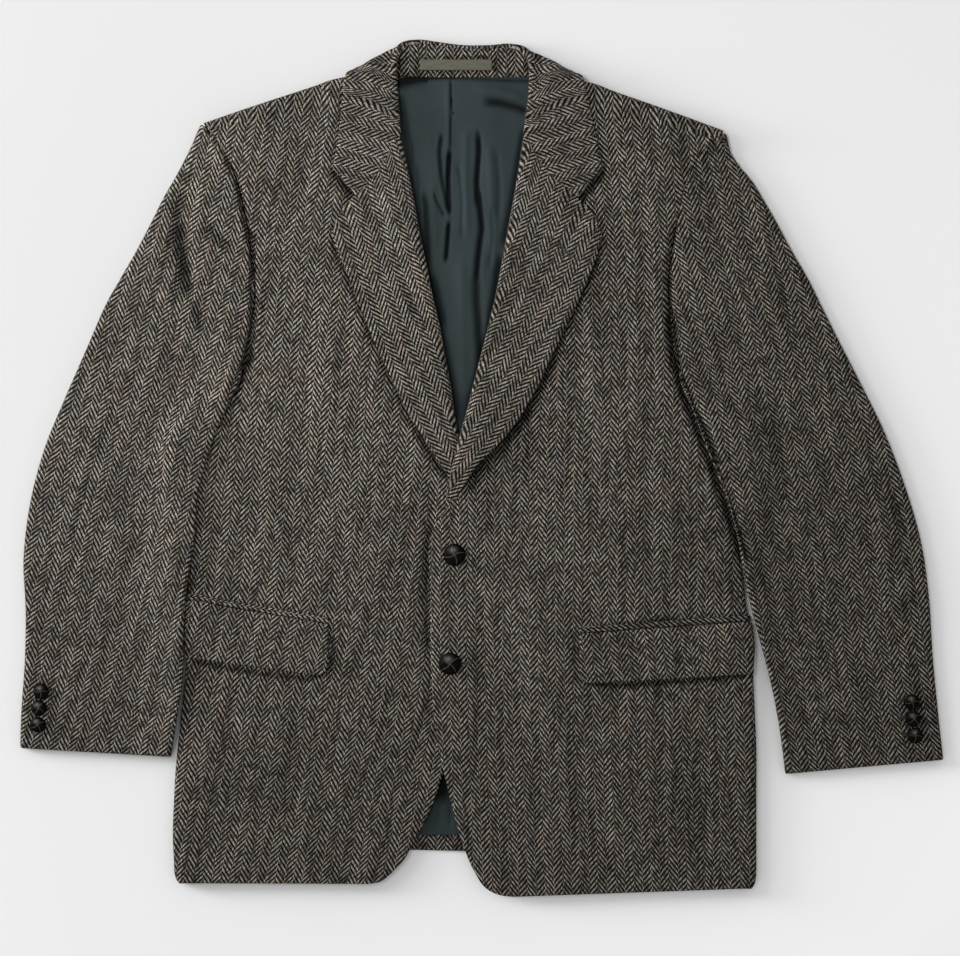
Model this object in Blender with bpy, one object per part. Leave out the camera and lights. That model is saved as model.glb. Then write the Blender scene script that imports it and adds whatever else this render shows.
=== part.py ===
# A tweed hacking jacket, buttoned and laid flat on its back. Run with:
#   blender --background --python part.py
#
# The frame: +X to the wearer's left, +Y from hem to collar, +Z up from the surface that it lies on.
# The origin is on that surface, on the centre-back line, half-way between hem and collar.
# Every size and table below is in millimetres, and cloth() writes metres into the meshes.
#
# Each piece of cloth is the row of sections that its cutter would chalk, from hem to shoulder, as
# the middle of its wall. cloth() gives that surface its thickness, and so one closed solid.

import math
from collections import namedtuple

import bmesh
import bpy
import numpy as np

METRE = 0.001

# Walls. The front's is tweed with its canvas and facing, the sleeve's tweed with its lining.
BACK_WALL = 2.4
LINING_WALL = 1.0
FRONT_WALL = 3.4
LAPEL_WALL = 3.2
SLEEVE_WALL = 2.6
COLLAR_WALL = 2.8
STAND_WALL = 2.4
FLAP_WALL = 2.4
JET_WALL = 1.4
HANGER_WALL = 1.0

SEAM = 0.4  # between two pieces that are sewn together
LAYER = 0.5  # between two pieces that lie on each other
EASE = 1.1  # between two that lie loosely: back and lining, front and lapel
TORSO_HOLLOW = 3.0  # between the lining and the fronts
SLEEVE_HOLLOW = 3.8  # inside a sleeve, where it lies on the ground
SLEEVE_PRESSED = 1.4  # inside a sleeve, where it lies on the body
ARMHOLE_GAP = 3.1  # between the middles of front and sleeve where they are sewn
BODY_CLEAR, BODY_SLOPE = 5.0, 40.0  # how far outside the body a sleeve starts to sink, and is down
SLOPE_SHARES = (0.35, 0.6)  # but no further across than these shares of its width
CAP_FROM, CAP_RISE = 0.8, 3.0  # the share of a sleeve's length where its cap starts to fill out
HEAD_WIDTH = 4.0  # the sleeve's head rolls up from the armhole within this width:
HEAD_ROLL = ((1, 1.7), (0.5, 1.0), (0, 0))  # shares of the width, and the rise there
UNDERARM_ROLL, UNDERARM_RISE = 20, 12  # more roll and rise where the underarm lies on the body

BACK_MID = BACK_WALL / 2
FRONT_MID = BACK_WALL + EASE + LINING_WALL + TORSO_HOLLOW + FRONT_WALL / 2
FRONT_TOP = FRONT_MID + FRONT_WALL / 2
SLEEVE_MID = SLEEVE_WALL / 2
SLEEVE_ON_BODY = FRONT_TOP + LAYER + SLEEVE_WALL / 2

FOLD_INSET = 4.0  # how far inside a side fold the front's height is read
NECK_BAND = 5.0  # the width of the last rows at the back's neck
NECK_LIFT = COLLAR_WALL + LAYER  # the collar's fall lies under the back's neck,
NECK_Y, NECK_X = (312, 343), (114, 150)  # and lifts it all across from here up, fading outward
PAD_RISE = 3.6  # how far the shoulder pad lifts the front,
PAD_WALL = 2.0  # how much thicker it makes the walls round it,
PAD_X, PAD_Y = (110, 205), (215, 290)  # and from where to where it grows
LAP_DROP, LAP_DROP_X = 1.2, (-64, -34)  # the right front sinks a little under the left one,
LAP_RISE, LAP_RISE_X = 3.2, (12, 46)  # which lies over it
LAP_HEM_Y, LAP_BREAK_Y = (-335, -285), (20, 70)  # between the quarters and the break,
BREAK_RISE = 4.8  # and over the right lapel, at the break
BREAK_PLACE, BREAK_REACH = (-5, 5), (24, 62)
BREAK_SLENDER = 0.8  # how much shorter a step along the body counts there than one across it
LAPEL_ROLL = 2.9  # radius of the soft turn at the roll line,
BREAK_ROLL = 2.3  # and where it runs out at the break
BREAK_ROLL_Y = (0, 60)
ROLL_SETTLES = (4, 34)  # how far from the roll line the lapel comes to lie on the front
COLLAR_ROLL = 2.2
FRONT_END_WIDTH = 7.0  # the collar's first columns, in front of the stand, where it lies flat
STAND_SEAM = 1.2  # between the front's neck and the stand that rises from it
STAND_GAP = 1.6  # between the stand's upper edge and the turn of the collar

Side = namedtuple("Side", "fold_x fold_y seam_x seam_y")
Lapel = namedtuple("Lapel", "roll_x roll_y edge_x edge_y")
Sleeve = namedtuple("Sleeve", "inner_x inner_y outer_x outer_y under_x under_y rise")
Fall = namedtuple("Fall", "fold_x fold_y fold_z lean tip over_x over_y over_z edge_x edge_y edge_z")
Stand = namedtuple("Stand", "seam_x seam_y seam_z")


def table(kind, text):
    return [kind(*map(float, line.split())) for line in text.strip().splitlines()]


# The side bodies, from hem to underarm: the side fold, where the front begins, and the back's seam.
SIDE_RIGHT = table(Side, """
    -267 -385  -203 -352
    -268 -366  -204 -335
    -269 -345  -205 -316
    -268 -310  -205 -285
    -266 -275  -204 -253
    -262 -235  -202 -217
    -257 -185  -199 -172
    -256 -130  -197 -122
    -258  -75  -197  -72
    -258  -25  -198  -25
    -254   15  -201   15
    -246   45  -203   48
""")
SIDE_LEFT = table(Side, """
     272 -389   205 -362
     272 -374   206 -346
     272 -355   207 -327
     272 -335   207 -306
     272 -305   207 -279
     272 -262   207 -241
     270 -215   206 -198
     267 -160   204 -150
     261 -115   201 -108
     259  -65   199  -62
     259  -25   199  -25
     256   15   201   14
     247   45   203   48
""")

# Where the fronts meet the sleeves, from the underarm to the shoulder's end.
ARMHOLE_RIGHT = [(-222, 60), (-205, 76), (-195, 104), (-193, 137), (-193, 171), (-197, 208), (-203, 240),
                 (-209, 266), (-218, 288), (-230, 308)]
ARMHOLE_LEFT = [(223, 60), (206, 76), (197, 104), (193, 137), (191, 171), (194, 205), (200, 236),
                (206, 263), (216, 286), (229, 302)]
BACK_ARMHOLE_RIGHT = [(-206, 78), (-207, 125), (-209, 170), (-213, 215), (-219, 252), (-227, 284),
                      (-234, 305)]
BACK_ARMHOLE_LEFT = [(206, 78), (207, 125), (209, 168), (213, 212), (219, 249), (228, 280),
                     (235, 300)]
BACK_CENTRE = [-354, -336, -316, -285, -253, -217, -172, -122, -72, -25, 20, 55, 92, 138, 185, 232, 275,
               309, 343]
SHOULDER_RIGHT = [(-240, 319), (-112, 363), (-88, 364)]  # the seam, from the sleeve to the neck
SHOULDER_LEFT = [(241, 312), (114, 359), (88, 361)]
BACK_NECK_RIGHT = [(-88, 364), (-60, 363), (0, 362)]
BACK_NECK_LEFT = [(88, 361), (60, 362), (0, 362)]

# The front edge from the hem's round corner to the break, then the roll line, then the neck: one
# place for each row of the front, the side's rows first and then the armhole's.
FRONT_EDGE_RIGHT = [(-68, -379), (-57, -367), (-46, -349), (-28, -312), (-15, -270), (-3, -230), (8, -180),
                    (10, -125), (10, -70), (5, -25), (-4, 22), (-11, 66), (-17, 97), (-22, 125), (-28, 152),
                    (-34, 182), (-39, 210), (-44, 235), (-49, 262), (-54, 287), (-58, 305), (-68, 332)]
FRONT_EDGE_LEFT = [(38, -398), (20, -389), (8, -369), (-3, -341), (-12, -306), (-22, -262), (-28, -215),
                   (-30, -160), (-30, -110), (-30, -62), (-14, -28), (-4, 22), (8, 66), (16, 97), (23, 125),
                   (30, 152), (35, 180), (40, 207), (45, 233), (52, 262), (54, 284), (56, 301), (67, 330)]
ROLL_ROWS_RIGHT = range(9, 21)  # the rows whose inner end is on the roll line
ROLL_ROWS_LEFT = range(10, 22)

# The lapels, from the break up: the roll line and the outer edge. GORGE is their last section.
LAPEL_RIGHT = table(Lapel, """
      2 -12    -5 -19
     -4  22   -22   5
     -9  50   -37  29
    -13  78   -50  50
    -18 105   -64  79
    -23 133   -76 104
    -29 158   -88 131
    -35 188   -98 156
    -42 222  -108 182
    -48 255  -116 201
""")
LAPEL_LEFT = table(Lapel, """
    -14 -29    -6 -28
     -9  -1     7  -6
     -3  25    22  12
      4  50    38  28
     11  78    54  50
     18 105    67  72
     25 133    80  99
     31 158    92 124
     37 188   103 147
     43 222   114 171
     49 254   123 194
""")
GORGE_RIGHT = [(-58, 303), (-69, 288), (-83, 266), (-100, 252), (-117, 236), (-122, 220)]
GORGE_LEFT = [(56, 299), (68, 284), (86, 264), (107, 250), (126, 231), (129, 214)]

# The sleeves, from cuff to shoulder. inner is the fold beside the body, and from the underarm up
# it is the armhole. under is where the under sleeve ends there, at the back's armhole. rise is 1
# where the sleeve climbs onto the body.
SLEEVE_RIGHT = table(Sleeve, """
    -273 -268  -411 -260  -273 -268  0
    -267 -236  -410 -226  -267 -236  1
    -261 -197  -407 -183  -261 -197  1
    -260 -150  -406 -132  -260 -150  1
    -257 -108  -408  -85  -257 -108  1
    -251  -71  -403  -39  -251  -71  1
    -246  -20  -389   17  -246  -20  1
    -234   27  -370   64  -234   27  1
    -216   62  -349  112  -216   62  1
    -199   86  -333  149  -199   86  1
    -195  104  -318  176  -212  112  0.1
    -193  137  -302  204  -208  137  0
    -193  171  -288  231  -210  171  0
    -197  208  -277  253  -214  212  0
    -203  240  -267  270  -219  243  0
    -209  266  -259  285  -223  269  0
    -218  288  -252  299  -231  291  0
    -230  308  -246  311  -239  308  0
""")
SLEEVE_LEFT = table(Sleeve, """
     301 -284   446 -271   301 -284  0
     294 -234   441 -226   294 -234  1
     284 -187   436 -173   284 -187  1
     273 -147   433 -124   273 -147  1
     263 -106   426  -72   263 -106  1
     254  -55   407   -7   254  -55  1
     244  -20   391   34   244  -20  1
     232   20   373   71   232   20  1
     217   60   350  116   217   60  1
     201   86   333  150   201   86  1
     197  104   319  178   212  112  0.1
     193  137   304  204   208  137  0
     191  171   290  230   210  171  0
     194  205   279  249   214  209  0
     200  236   268  267   219  240  0
     206  263   259  282   223  266  0
     216  286   252  295   231  288  0
     229  302   247  304   239  302  0
""")
ELBOW_STRIP_RIGHT = 7.0  # how much of the under sleeve shows on top, at the cuff
ELBOW_STRIP_LEFT = 14.0
ELBOW_STRIP_TOP = 6.0  # and at the shoulder

# The collar's fall, from each front end to the centre back. fold is its turned edge, which points
# to the neck's middle where lean is 0, to the top where it is 90, and upward by tip. The fall lies
# above the stand in front and under it at the back. From the turned edge it runs over the shoulder
# to its own edge, which at the back lies on the ground.
FALL_RIGHT = table(Fall, """
    -100 254 12.8   0   0  -110 266 12.8  -121 279 12.7
     -83 269 13.0   0   0   -99 284 13.0  -117 301 12.8
     -69 292 13.8   0   0   -90 306 13.8  -114 324 14.6
     -58 309 15.2   0   0   -83 326 15.4  -112 344 16.8
     -60 328 13.6   0   0   -86 346 17.0  -111 357 16.8
     -61 341 14.4   0   6   -87 359 17.2  -108 367 15.8
     -62 354 14.8   0  20   -86 369 16.2  -103 370  9.5
     -63 374 13.2  15  45   -86 378 11.8   -97 372  3.6
     -62 384 11.0  45  60   -80 384  6.6   -90 370  1.8
     -58 393  8.0  75  45   -72 386  2.8   -78 363  1.6
     -44 398  5.0  90  20   -50 382  1.5   -54 355  1.4
     -24 396  3.8  90   5   -26 375  1.4   -27 351  1.4
       0 393  3.6  90   0     0 372  1.4     0 349  1.4
""")
FALL_LEFT = table(Fall, """
     107 252 12.8   0   0   117 265 13.0   129 279 13.0
      86 267 13.0   0   0   104 283 13.2   126 299 13.2
      68 289 13.8   0   0    94 304 13.8   121 321 14.6
      56 306 15.2   0   0    86 323 15.4   117 340 16.8
      59 325 13.6   0   0    88 343 17.0   114 353 16.8
      61 338 14.4   0   6    89 356 17.2   111 364 15.8
      62 351 14.8   0  20    88 366 16.2   105 367  9.5
      63 371 13.2  15  45    87 375 11.8    99 369  3.6
      62 381 11.0  45  60    81 381  6.6    91 367  1.8
      58 389  8.0  75  45    72 383  2.8    79 360  1.6
      46 394  5.0  90  20    50 379  1.5    54 354  1.4
      24 393  3.8  90   5    26 373  1.4    27 351  1.4
""")
# The stand's seam with the neck, a row for each row of the fall from the roll line's top on.
STAND_FROM = 4
STAND_RIGHT = table(Stand, """
     -67 331 11.0
     -73 341 11.9
     -80 351 12.2
     -86 366  9.7
     -79 367  7.1
     -70 367  5.6
     -50 365  4.8
     -25 364  4.6
       0 364  4.6
""")
STAND_LEFT = table(Stand, """
      66 328 10.9
      72 338 11.8
      78 347 12.1
      86 363  9.7
      79 365  7.1
      70 365  5.6
      50 364  4.8
      25 364  4.6
""")

# Pockets: the flap's top line and its drop, from the side to its front end.
Pocket = namedtuple("Pocket", "side_y front_x front_y drop_side drop_front")
POCKET_RIGHT = Pocket(-123, -125, -145, 53, 47)
POCKET_LEFT = Pocket(-143, 113, -152, 48, 46)
FLAP_CORNER = 13.0
FLAP_HANG = 1.0  # how much further its lower edge stands off the front
JET_WIDTH, JET_GAP = 4.5, 0.6

FRONT_BUTTONS = {"upper": (-8, -80), "lower": (-12, -181)}
CUFF_BUTTONS = {"right": [(-392, -207), (-394, -222.5), (-395, -238)],
                "left": [(417, -217), (418.5, -232.5), (420, -248)]}
Button = namedtuple("Button", "radius height")
FRONT_BUTTON, CUFF_BUTTON = Button(10.3, 7.5), Button(7.3, 5.5)
BUTTON_SIDES = 14
BUTTON_SHANK = 0.7  # how far a button stands off the cloth

HANGER = (-40, 27, 370.5, 380.5)  # from its right to its left end, and from its lower to its upper edge
LINING_TOP, LINING_HEM = 358.0, -341.0

QUARTER = (90, 48, 6)  # degrees round a fold, from the upper face to just short of its outer edge
ROLL = (-90, -30, 30, 90)


def ramp(value, start, end):
    """0 before start, 1 past end, and smooth between them."""
    t = np.clip((np.asarray(value, float) - start) / (end - start), 0, 1)
    return t * t * (3 - 2 * t)


def neck_lift(x, y):
    return NECK_LIFT * ramp(y, *NECK_Y) * (1 - ramp(abs(x), *NECK_X))


def pad(x, y):
    """1 on the padded end of a shoulder."""
    return ramp(abs(x), *PAD_X) * ramp(y, *PAD_Y)


def back_wall(x, y):
    return BACK_WALL + PAD_WALL * pad(x, y)


def front_wall(x, y):
    return FRONT_WALL + PAD_WALL * pad(x, y)


def back_mid(x, y):
    return back_wall(x, y) / 2 + neck_lift(x, y)


def lining_mid(x, y):
    return back_mid(x, y) + back_wall(x, y) / 2 + EASE + LINING_WALL / 2


def front_mid(x, y, left):
    level = FRONT_MID + neck_lift(x, y) + PAD_RISE * pad(x, y)
    if not left:
        return level - LAP_DROP * ramp(x, *LAP_DROP_X)
    lap = (1 - ramp(x, *LAP_RISE_X)) * ramp(y, *LAP_HEM_Y) * (1 - ramp(y, *LAP_BREAK_Y))
    from_break = math.hypot(x - BREAK_PLACE[0], BREAK_SLENDER * (y - BREAK_PLACE[1]))
    return level + LAP_RISE * lap + BREAK_RISE * (1 - ramp(from_break, *BREAK_REACH))


def lapel_mid(x, y, left):
    return front_mid(x, y, left) + (FRONT_WALL + LAPEL_WALL) / 2 + EASE


def outline_x(y, left):
    """How far from the middle the body reaches at a height, up to the top of the armhole."""
    side, armhole = (SIDE_LEFT, ARMHOLE_LEFT) if left else (SIDE_RIGHT, ARMHOLE_RIGHT)
    points = [(row.fold_y, abs(row.fold_x)) for row in side] + [(y_, abs(x_)) for x_, y_ in armhole]
    return float(np.interp(y, *zip(*points)))


def along(points, shares):
    """The places at these shares of a line's length."""
    points = np.asarray(points, float)
    reach = np.append(0, np.cumsum(np.linalg.norm(np.diff(points, axis=0), axis=1)))
    return np.stack([np.interp(np.asarray(shares) * reach[-1], reach, axis) for axis in points.T], 1)


def unit(vector):
    return np.asarray(vector, float) / np.linalg.norm(vector)


def fold(edge, outward, low, high, degrees):
    """Points round a fold whose outermost place is edge: at 90 degrees on top, at -90 below."""
    radius = (high - low) / 2
    edge, outward = np.asarray(edge, float), np.asarray(outward, float)
    places = []
    for angle in np.radians(degrees):
        flat = edge - outward * radius * (1 - math.cos(angle))
        places.append((*flat, low + radius * (1 + math.sin(angle))))
    return places


def across(rows):
    """The unit vector across the wall at each place of a grid of places."""
    tangents = []
    for axis in (0, 1):
        steps = np.diff(rows, axis=axis)
        steps /= np.maximum(np.linalg.norm(steps, axis=2, keepdims=True), 1e-9)
        steps = np.moveaxis(steps, axis, 0)
        inner = steps[:-1] + steps[1:]
        inner /= np.linalg.norm(inner, axis=2, keepdims=True)
        # At its ends the line is taken to go on bending as it does beside them.
        ends = [2 * (step * next_).sum(-1, keepdims=True) * step - next_
                for step, next_ in ((steps[0], inner[0] if len(inner) else steps[0]),
                                    (steps[-1], inner[-1] if len(inner) else steps[-1]))]
        tangents.append(np.moveaxis(np.concatenate([ends[:1], inner, ends[1:]]), 0, axis))
    normal = np.cross(tangents[1], tangents[0])
    return normal / np.linalg.norm(normal, axis=2, keepdims=True)


def make_material(name, colour, roughness):
    material = bpy.data.materials.new(name)
    material.use_nodes = True
    shader = material.node_tree.nodes["Principled BSDF"]
    shader.inputs["Base Color"].default_value = (*colour, 1)
    shader.inputs["Roughness"].default_value = roughness
    shader.inputs["Metallic"].default_value = 0
    return material


def add_object(name, bm, material):
    mesh = bpy.data.meshes.new(name)
    bmesh.ops.recalc_face_normals(bm, faces=bm.faces)
    if bm.calc_volume(signed=True) < 0:
        bmesh.ops.reverse_faces(bm, faces=bm.faces)
    bm.to_mesh(mesh)
    bm.free()
    mesh.materials.append(material.copy())
    mesh.shade_smooth()
    piece = bpy.data.objects.new(name, mesh)
    bpy.context.collection.objects.link(piece)
    return piece


def cloth(name, rows, wall, material):
    """A closed wall of cloth round a grid of places: rows of sections, wall thick."""
    rows = np.array(rows, float)
    count, width = rows.shape[:2]
    half = across(rows) * np.broadcast_to(np.asarray(wall, float), (count, width))[..., None] / 2
    lower, upper = (rows - half).reshape(-1, 3), (rows + half).reshape(-1, 3)
    bm = bmesh.new()
    bmesh.ops.create_grid(bm, x_segments=width - 1, y_segments=count - 1, size=1)
    place = bm.verts.layers.int.new("place")
    for vertex in bm.verts:
        column = round((vertex.co.x + 1) / 2 * (width - 1))
        row = round((vertex.co.y + 1) / 2 * (count - 1))
        vertex[place] = row * width + column
    made = bmesh.ops.extrude_face_region(bm, geom=bm.faces[:], use_keep_orig=True)
    new = {item for item in made["geom"] if isinstance(item, bmesh.types.BMVert)}
    for vertex in bm.verts:
        vertex.co = (upper if vertex in new else lower)[vertex[place]] * METRE
    bmesh.ops.triangulate(bm, faces=bm.faces, quad_method="SHORT_EDGE")
    return add_object(name, bm, material)


def on_wall(rows, left):
    """The front's thickness at each place of its grid."""
    return [[front_wall(x, y) for x, y, _ in row] for row in rows]


def front_rows(left):
    """The front from hem to shoulder. Each section starts on the side fold, or at the armhole."""
    side = SIDE_LEFT if left else SIDE_RIGHT
    armhole = ARMHOLE_LEFT if left else ARMHOLE_RIGHT
    edge = FRONT_EDGE_LEFT if left else FRONT_EDGE_RIGHT
    roll_rows = ROLL_ROWS_LEFT if left else ROLL_ROWS_RIGHT
    shoulder = SHOULDER_LEFT if left else SHOULDER_RIGHT
    out = 1 if left else -1
    outer = [(row.fold_x, row.fold_y) for row in side] + armhole
    shares = (0, 0.12, 0.25, 0.38, 0.52, 0.66, 0.8, 0.91, 1)
    rows = []
    for number, (start, end) in enumerate(zip(outer, edge)):
        start, end = np.array(start, float), np.array(end, float)
        if number in roll_rows:
            end[0] += out * (LAPEL_ROLL + 2 * SEAM)
        elif number > roll_rows[-1]:
            end[0] += out * STAND_SEAM
        inset = start - (out * FOLD_INSET, 0)
        if number < len(side):
            low, high = BACK_MID, front_mid(*inset, left)
            head = fold(start, (out, 0), low, high, QUARTER[::-1])
        else:
            steps = along([start, inset], (0, 0.5, 1))
            head = [(x, y, front_mid(x, y, left)) for x, y in steps]
        flat = along([head[-1][:2], end], shares)[1:]
        rows.append(head + [(x, y, front_mid(x, y, left)) for x, y in flat])
    # The last sections turn over the shoulder to its seam.
    columns = [math.hypot(x - rows[-1][0][0], y - rows[-1][0][1]) for x, y, _ in rows[-1]]
    seam = along(shoulder, np.array(columns) / columns[-1])
    over = unit((seam[0] - seam[-1])[::-1] * (-out, out))
    for angle in QUARTER:
        section = []
        for x, y in seam:
            low, high = back_mid(x, y), front_mid(x, y, left)
            section += fold((x, y), over, low, high, [angle])
        rows.append(section)
    return rows


def back_rows(left):
    """The half back from hem to neck and shoulder. Each section starts at the side seam."""
    side = SIDE_LEFT if left else SIDE_RIGHT
    armhole = BACK_ARMHOLE_LEFT if left else BACK_ARMHOLE_RIGHT
    shoulder = SHOULDER_LEFT if left else SHOULDER_RIGHT
    neck = BACK_NECK_LEFT if left else BACK_NECK_RIGHT
    out = 1 if left else -1
    at_neck = 0.65  # the share of the top section that the shoulder takes
    shares = np.array((0, 0.16, 0.31, 0.42, 0.53, at_neck, 0.82, 1))
    centre = out * SEAM / 2
    rows = []
    outer = [(row.seam_x, row.seam_y) for row in side] + armhole
    centres = np.interp(np.linspace(0, 1, len(outer)), np.linspace(0, 1, len(BACK_CENTRE)), BACK_CENTRE)
    for (x, y), centre_y in zip(outer, centres):
        line = along([(x - out * SEAM, y), (centre, centre_y)], shares)
        rows.append([(x_, y_, back_mid(x_, y_)) for x_, y_ in line])
    on_shoulder = along(shoulder, shares[shares <= at_neck] / at_neck)
    on_neck = along(neck, (shares[shares > at_neck] - at_neck) / (1 - at_neck))
    on_neck[-1][0] = centre
    over = unit((out * 0.33, 0.94))
    for angle in (-90, -48, -6):
        section = []
        for x, y in on_shoulder:
            low, high = back_mid(x, y), front_mid(x, y, left)
            section += fold((x, y), over, low, high, [angle])
        turned = math.cos(math.radians(angle))
        section += [(x, y - NECK_BAND * (1 - turned), back_mid(x, y)) for x, y in on_neck]
        rows.append(section)
    return rows


def side_rows(left):
    """The side body from hem to underarm, from the side fold in to the back's seam."""
    out = 1 if left else -1
    rows = []
    for row in SIDE_LEFT if left else SIDE_RIGHT:
        high = front_mid(row.fold_x - out * FOLD_INSET, row.fold_y, left)
        turn = fold((row.fold_x, row.fold_y), (out, 0), BACK_MID, high, [-q for q in QUARTER[::-1]])
        flat = along([turn[-1][:2], (row.seam_x, row.seam_y)], (0, 0.5, 1))[1:]
        rows.append(turn + [(x, y, BACK_MID) for x, y in flat])
    return rows


def lapel_rows(left):
    """The turned-back lapel from the break to the gorge: round the roll line, then to its edge."""
    out = 1 if left else -1
    gorge = GORGE_LEFT if left else GORGE_RIGHT
    shares = (0, 0.14, 0.3, 0.52, 0.76, 1)
    lapel = LAPEL_LEFT if left else LAPEL_RIGHT
    rows = []
    for line in [[(row.roll_x, row.roll_y), (row.edge_x, row.edge_y)] for row in lapel] + [gorge]:
        x, y = line[0]
        radius = BREAK_ROLL + (LAPEL_ROLL - BREAK_ROLL) * ramp(y, *BREAK_ROLL_Y)
        level = front_mid(x + out * radius, y, left)
        turn = fold(line[0], (-out, 0), level, level + 2 * radius, ROLL)
        places = along([turn[-1][:2], *line[1:]], shares)[1:]
        lift = 2 * radius - (FRONT_WALL + LAPEL_WALL) / 2 - EASE
        section = list(turn)
        for x_, y_ in places:
            settled = ramp(math.dist((x_, y_), line[0]), *ROLL_SETTLES)
            section.append((x_, y_, lapel_mid(x_, y_, left) + lift * (1 - settled)))
        rows.append(section)
    return rows


def inside_body(place, left):
    """How far inside the body's outline a place lies."""
    return outline_x(place[1], left) - abs(place[0])


def sleeve_levels(x, y, rise, left):
    """The middles of the under and of the top sleeve's wall."""
    inside = inside_body((x, y), left)
    cover = rise * float(ramp(inside, -BODY_SLOPE, -BODY_CLEAR))
    low = SLEEVE_MID + (SLEEVE_ON_BODY - SLEEVE_MID) * cover
    hollow = SLEEVE_HOLLOW + (SLEEVE_PRESSED - SLEEVE_HOLLOW) * cover
    return low, low + SLEEVE_WALL + hollow


def sleeve_rows(left):
    """Sections of the top sleeve and of the under sleeve, from cuff to shoulder."""
    sleeve = SLEEVE_LEFT if left else SLEEVE_RIGHT
    strip_cuff = ELBOW_STRIP_LEFT if left else ELBOW_STRIP_RIGHT
    armhole = ARMHOLE_LEFT if left else ARMHOLE_RIGHT
    tops, unders = [], []
    for number, row in enumerate(sleeve):
        inner = np.array((row.inner_x, row.inner_y))
        outer = np.array((row.outer_x, row.outer_y))
        outward = unit(outer - inner)
        length = math.dist(inner, outer)
        sewn = (row.inner_x, row.inner_y) in armhole
        up = number / (len(sleeve) - 1)
        low, high = sleeve_levels(*outer, row.rise, left)
        high += CAP_RISE * ramp(up, CAP_FROM, 1)
        strip = min(strip_cuff + (ELBOW_STRIP_TOP - strip_cuff) * ramp(up, 0, 0.5), length / 3)
        at_elbow = outer - outward * strip
        # The section bends where it leaves the body and where it comes down to the ground.
        steps = range(int(length))
        on_body = next((step for step in steps if inside_body(inner + outward * step, left) < -BODY_CLEAR), 0)
        down = min(on_body + BODY_SLOPE - BODY_CLEAR, SLOPE_SHARES[1] * length)
        on_body = min(max(on_body, BODY_CLEAR), SLOPE_SHARES[0] * length)
        bends = [inner + outward * d for d in (down, (on_body + down) / 2, on_body)]

        # The top sleeve: from the elbow seam to the fold beside the body, or to the armhole.
        if sewn:
            level = float(front_mid(*inner, left))
            end = inner + outward * ARMHOLE_GAP
            width = min(HEAD_WIDTH, 0.3 * length)
            tail = [(*(end + outward * share * width), level + lift * (1 + UNDERARM_ROLL * row.rise))
                    for share, lift in HEAD_ROLL]
        else:
            inner_low, inner_high = sleeve_levels(*inner, row.rise, left)
            tail = fold(inner, -outward, inner_low, inner_high, QUARTER)
        section = []
        for place in [*along([at_elbow - outward * 2 * SEAM, bends[0]], (0, 0.33, 0.67, 1)), *bends[1:]]:
            level = sleeve_levels(*place, row.rise, left)[1]
            if sewn:
                level = high + (tail[0][2] - high) * ramp(math.dist(place, outer) / length, 0, 1)
                level += UNDERARM_RISE * row.rise
            section.append((*place, level))
        tops.append(section + tail)

        # The under sleeve: the strip on top, round the outer fold, and back to the inner edge.
        section = [(*at_elbow, high), *fold(outer, outward, low, high, (90, 0, -90))]
        first = np.array(section[-1][:2])
        if sewn:
            end = np.array((row.under_x, row.under_y)) + outward * 3 * SEAM
            line = along([first, end], (0, 0.2, 0.4, 0.55, 0.7, 0.85, 0.95, 1))[1:]
            section += [(*place, sleeve_levels(*place, row.rise, left)[0]) for place in line]
        else:
            line = [*along([first, bends[0]], (0, 0.5, 1))[1:], *bends[1:]]
            section += [(*place, sleeve_levels(*place, row.rise, left)[0]) for place in line]
            section += fold(inner, -outward, inner_low, inner_high, [-q for q in QUARTER])
        unders.append(section)
    return tops, unders


def collar_turns(falls):
    """At each station of the collar, the places round its turned edge, from the stand to the fall."""
    folds = np.array([(row.fold_x, row.fold_y, row.fold_z) for row in falls])
    turns = []
    for row, edge, run in zip(falls, folds, np.gradient(folds, axis=0)):
        inward = -1 if row.fold_x > 0 else 1
        lean, tip = math.radians(row.lean), math.radians(row.tip)
        level = np.array((inward * math.cos(lean), math.sin(lean), 0)) * math.cos(tip)
        crest = level + (0, 0, math.sin(tip))
        crest = unit(crest - unit(run) * (crest @ unit(run)))
        toward_fall = np.cross(crest, unit(run))
        centre = edge - crest * COLLAR_ROLL
        turns.append([centre + COLLAR_ROLL * (math.sin(a) * toward_fall + math.cos(a) * crest)
                      for a in np.radians(ROLL)])
    return turns


def fall_rows():
    """The collar's fall, from its right front end round the back of the neck to its left one."""
    falls = FALL_RIGHT + FALL_LEFT[::-1]
    rows = []
    for number, (row, head) in enumerate(zip(falls, collar_turns(falls))):
        over = np.array((row.over_x, row.over_y, row.over_z))
        end = (row.edge_x, row.edge_y, row.edge_z)
        if min(number, len(falls) - 1 - number) < STAND_FROM:
            start = np.array((row.fold_x, row.fold_y, row.fold_z))
            head = list(along([start, start + unit(over - start) * FRONT_END_WIDTH], (0, 0.33, 0.67, 1)))
        rows.append([*head, *along([head[-1], over, end], (0, 0.3, 0.6, 0.82, 1))[1:]])
    return rows


def stand_rows():
    """The collar's stand, from the roll line's top on the right round the neck to the left."""
    falls = FALL_RIGHT + FALL_LEFT[::-1]
    stands = STAND_RIGHT + STAND_LEFT[::-1]
    rows = []
    for row, turn in zip(stands, collar_turns(falls)[STAND_FROM:]):
        crest = unit(turn[1] + turn[2] - turn[0] - turn[-1])
        top = turn[0] - crest * STAND_GAP
        rows.append(along([(row.seam_x, row.seam_y, row.seam_z), top], (0, 0.35, 0.7, 1)))
    return rows


def lining_rows():
    """The back lining, from its hem to the neck, from side to side."""
    rows = []
    for y in (LINING_HEM, -280, -210, -140, -70, 0, 70, 140, 200, 260, 312, 322, 333, 343, LINING_TOP):
        reach = float(np.interp(y, (170, 230, LINING_TOP), (190, 108, 76)))
        rows.append([(x, y, lining_mid(x, y)) for x in np.linspace(-reach, reach, 8)])
    return rows


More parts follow.
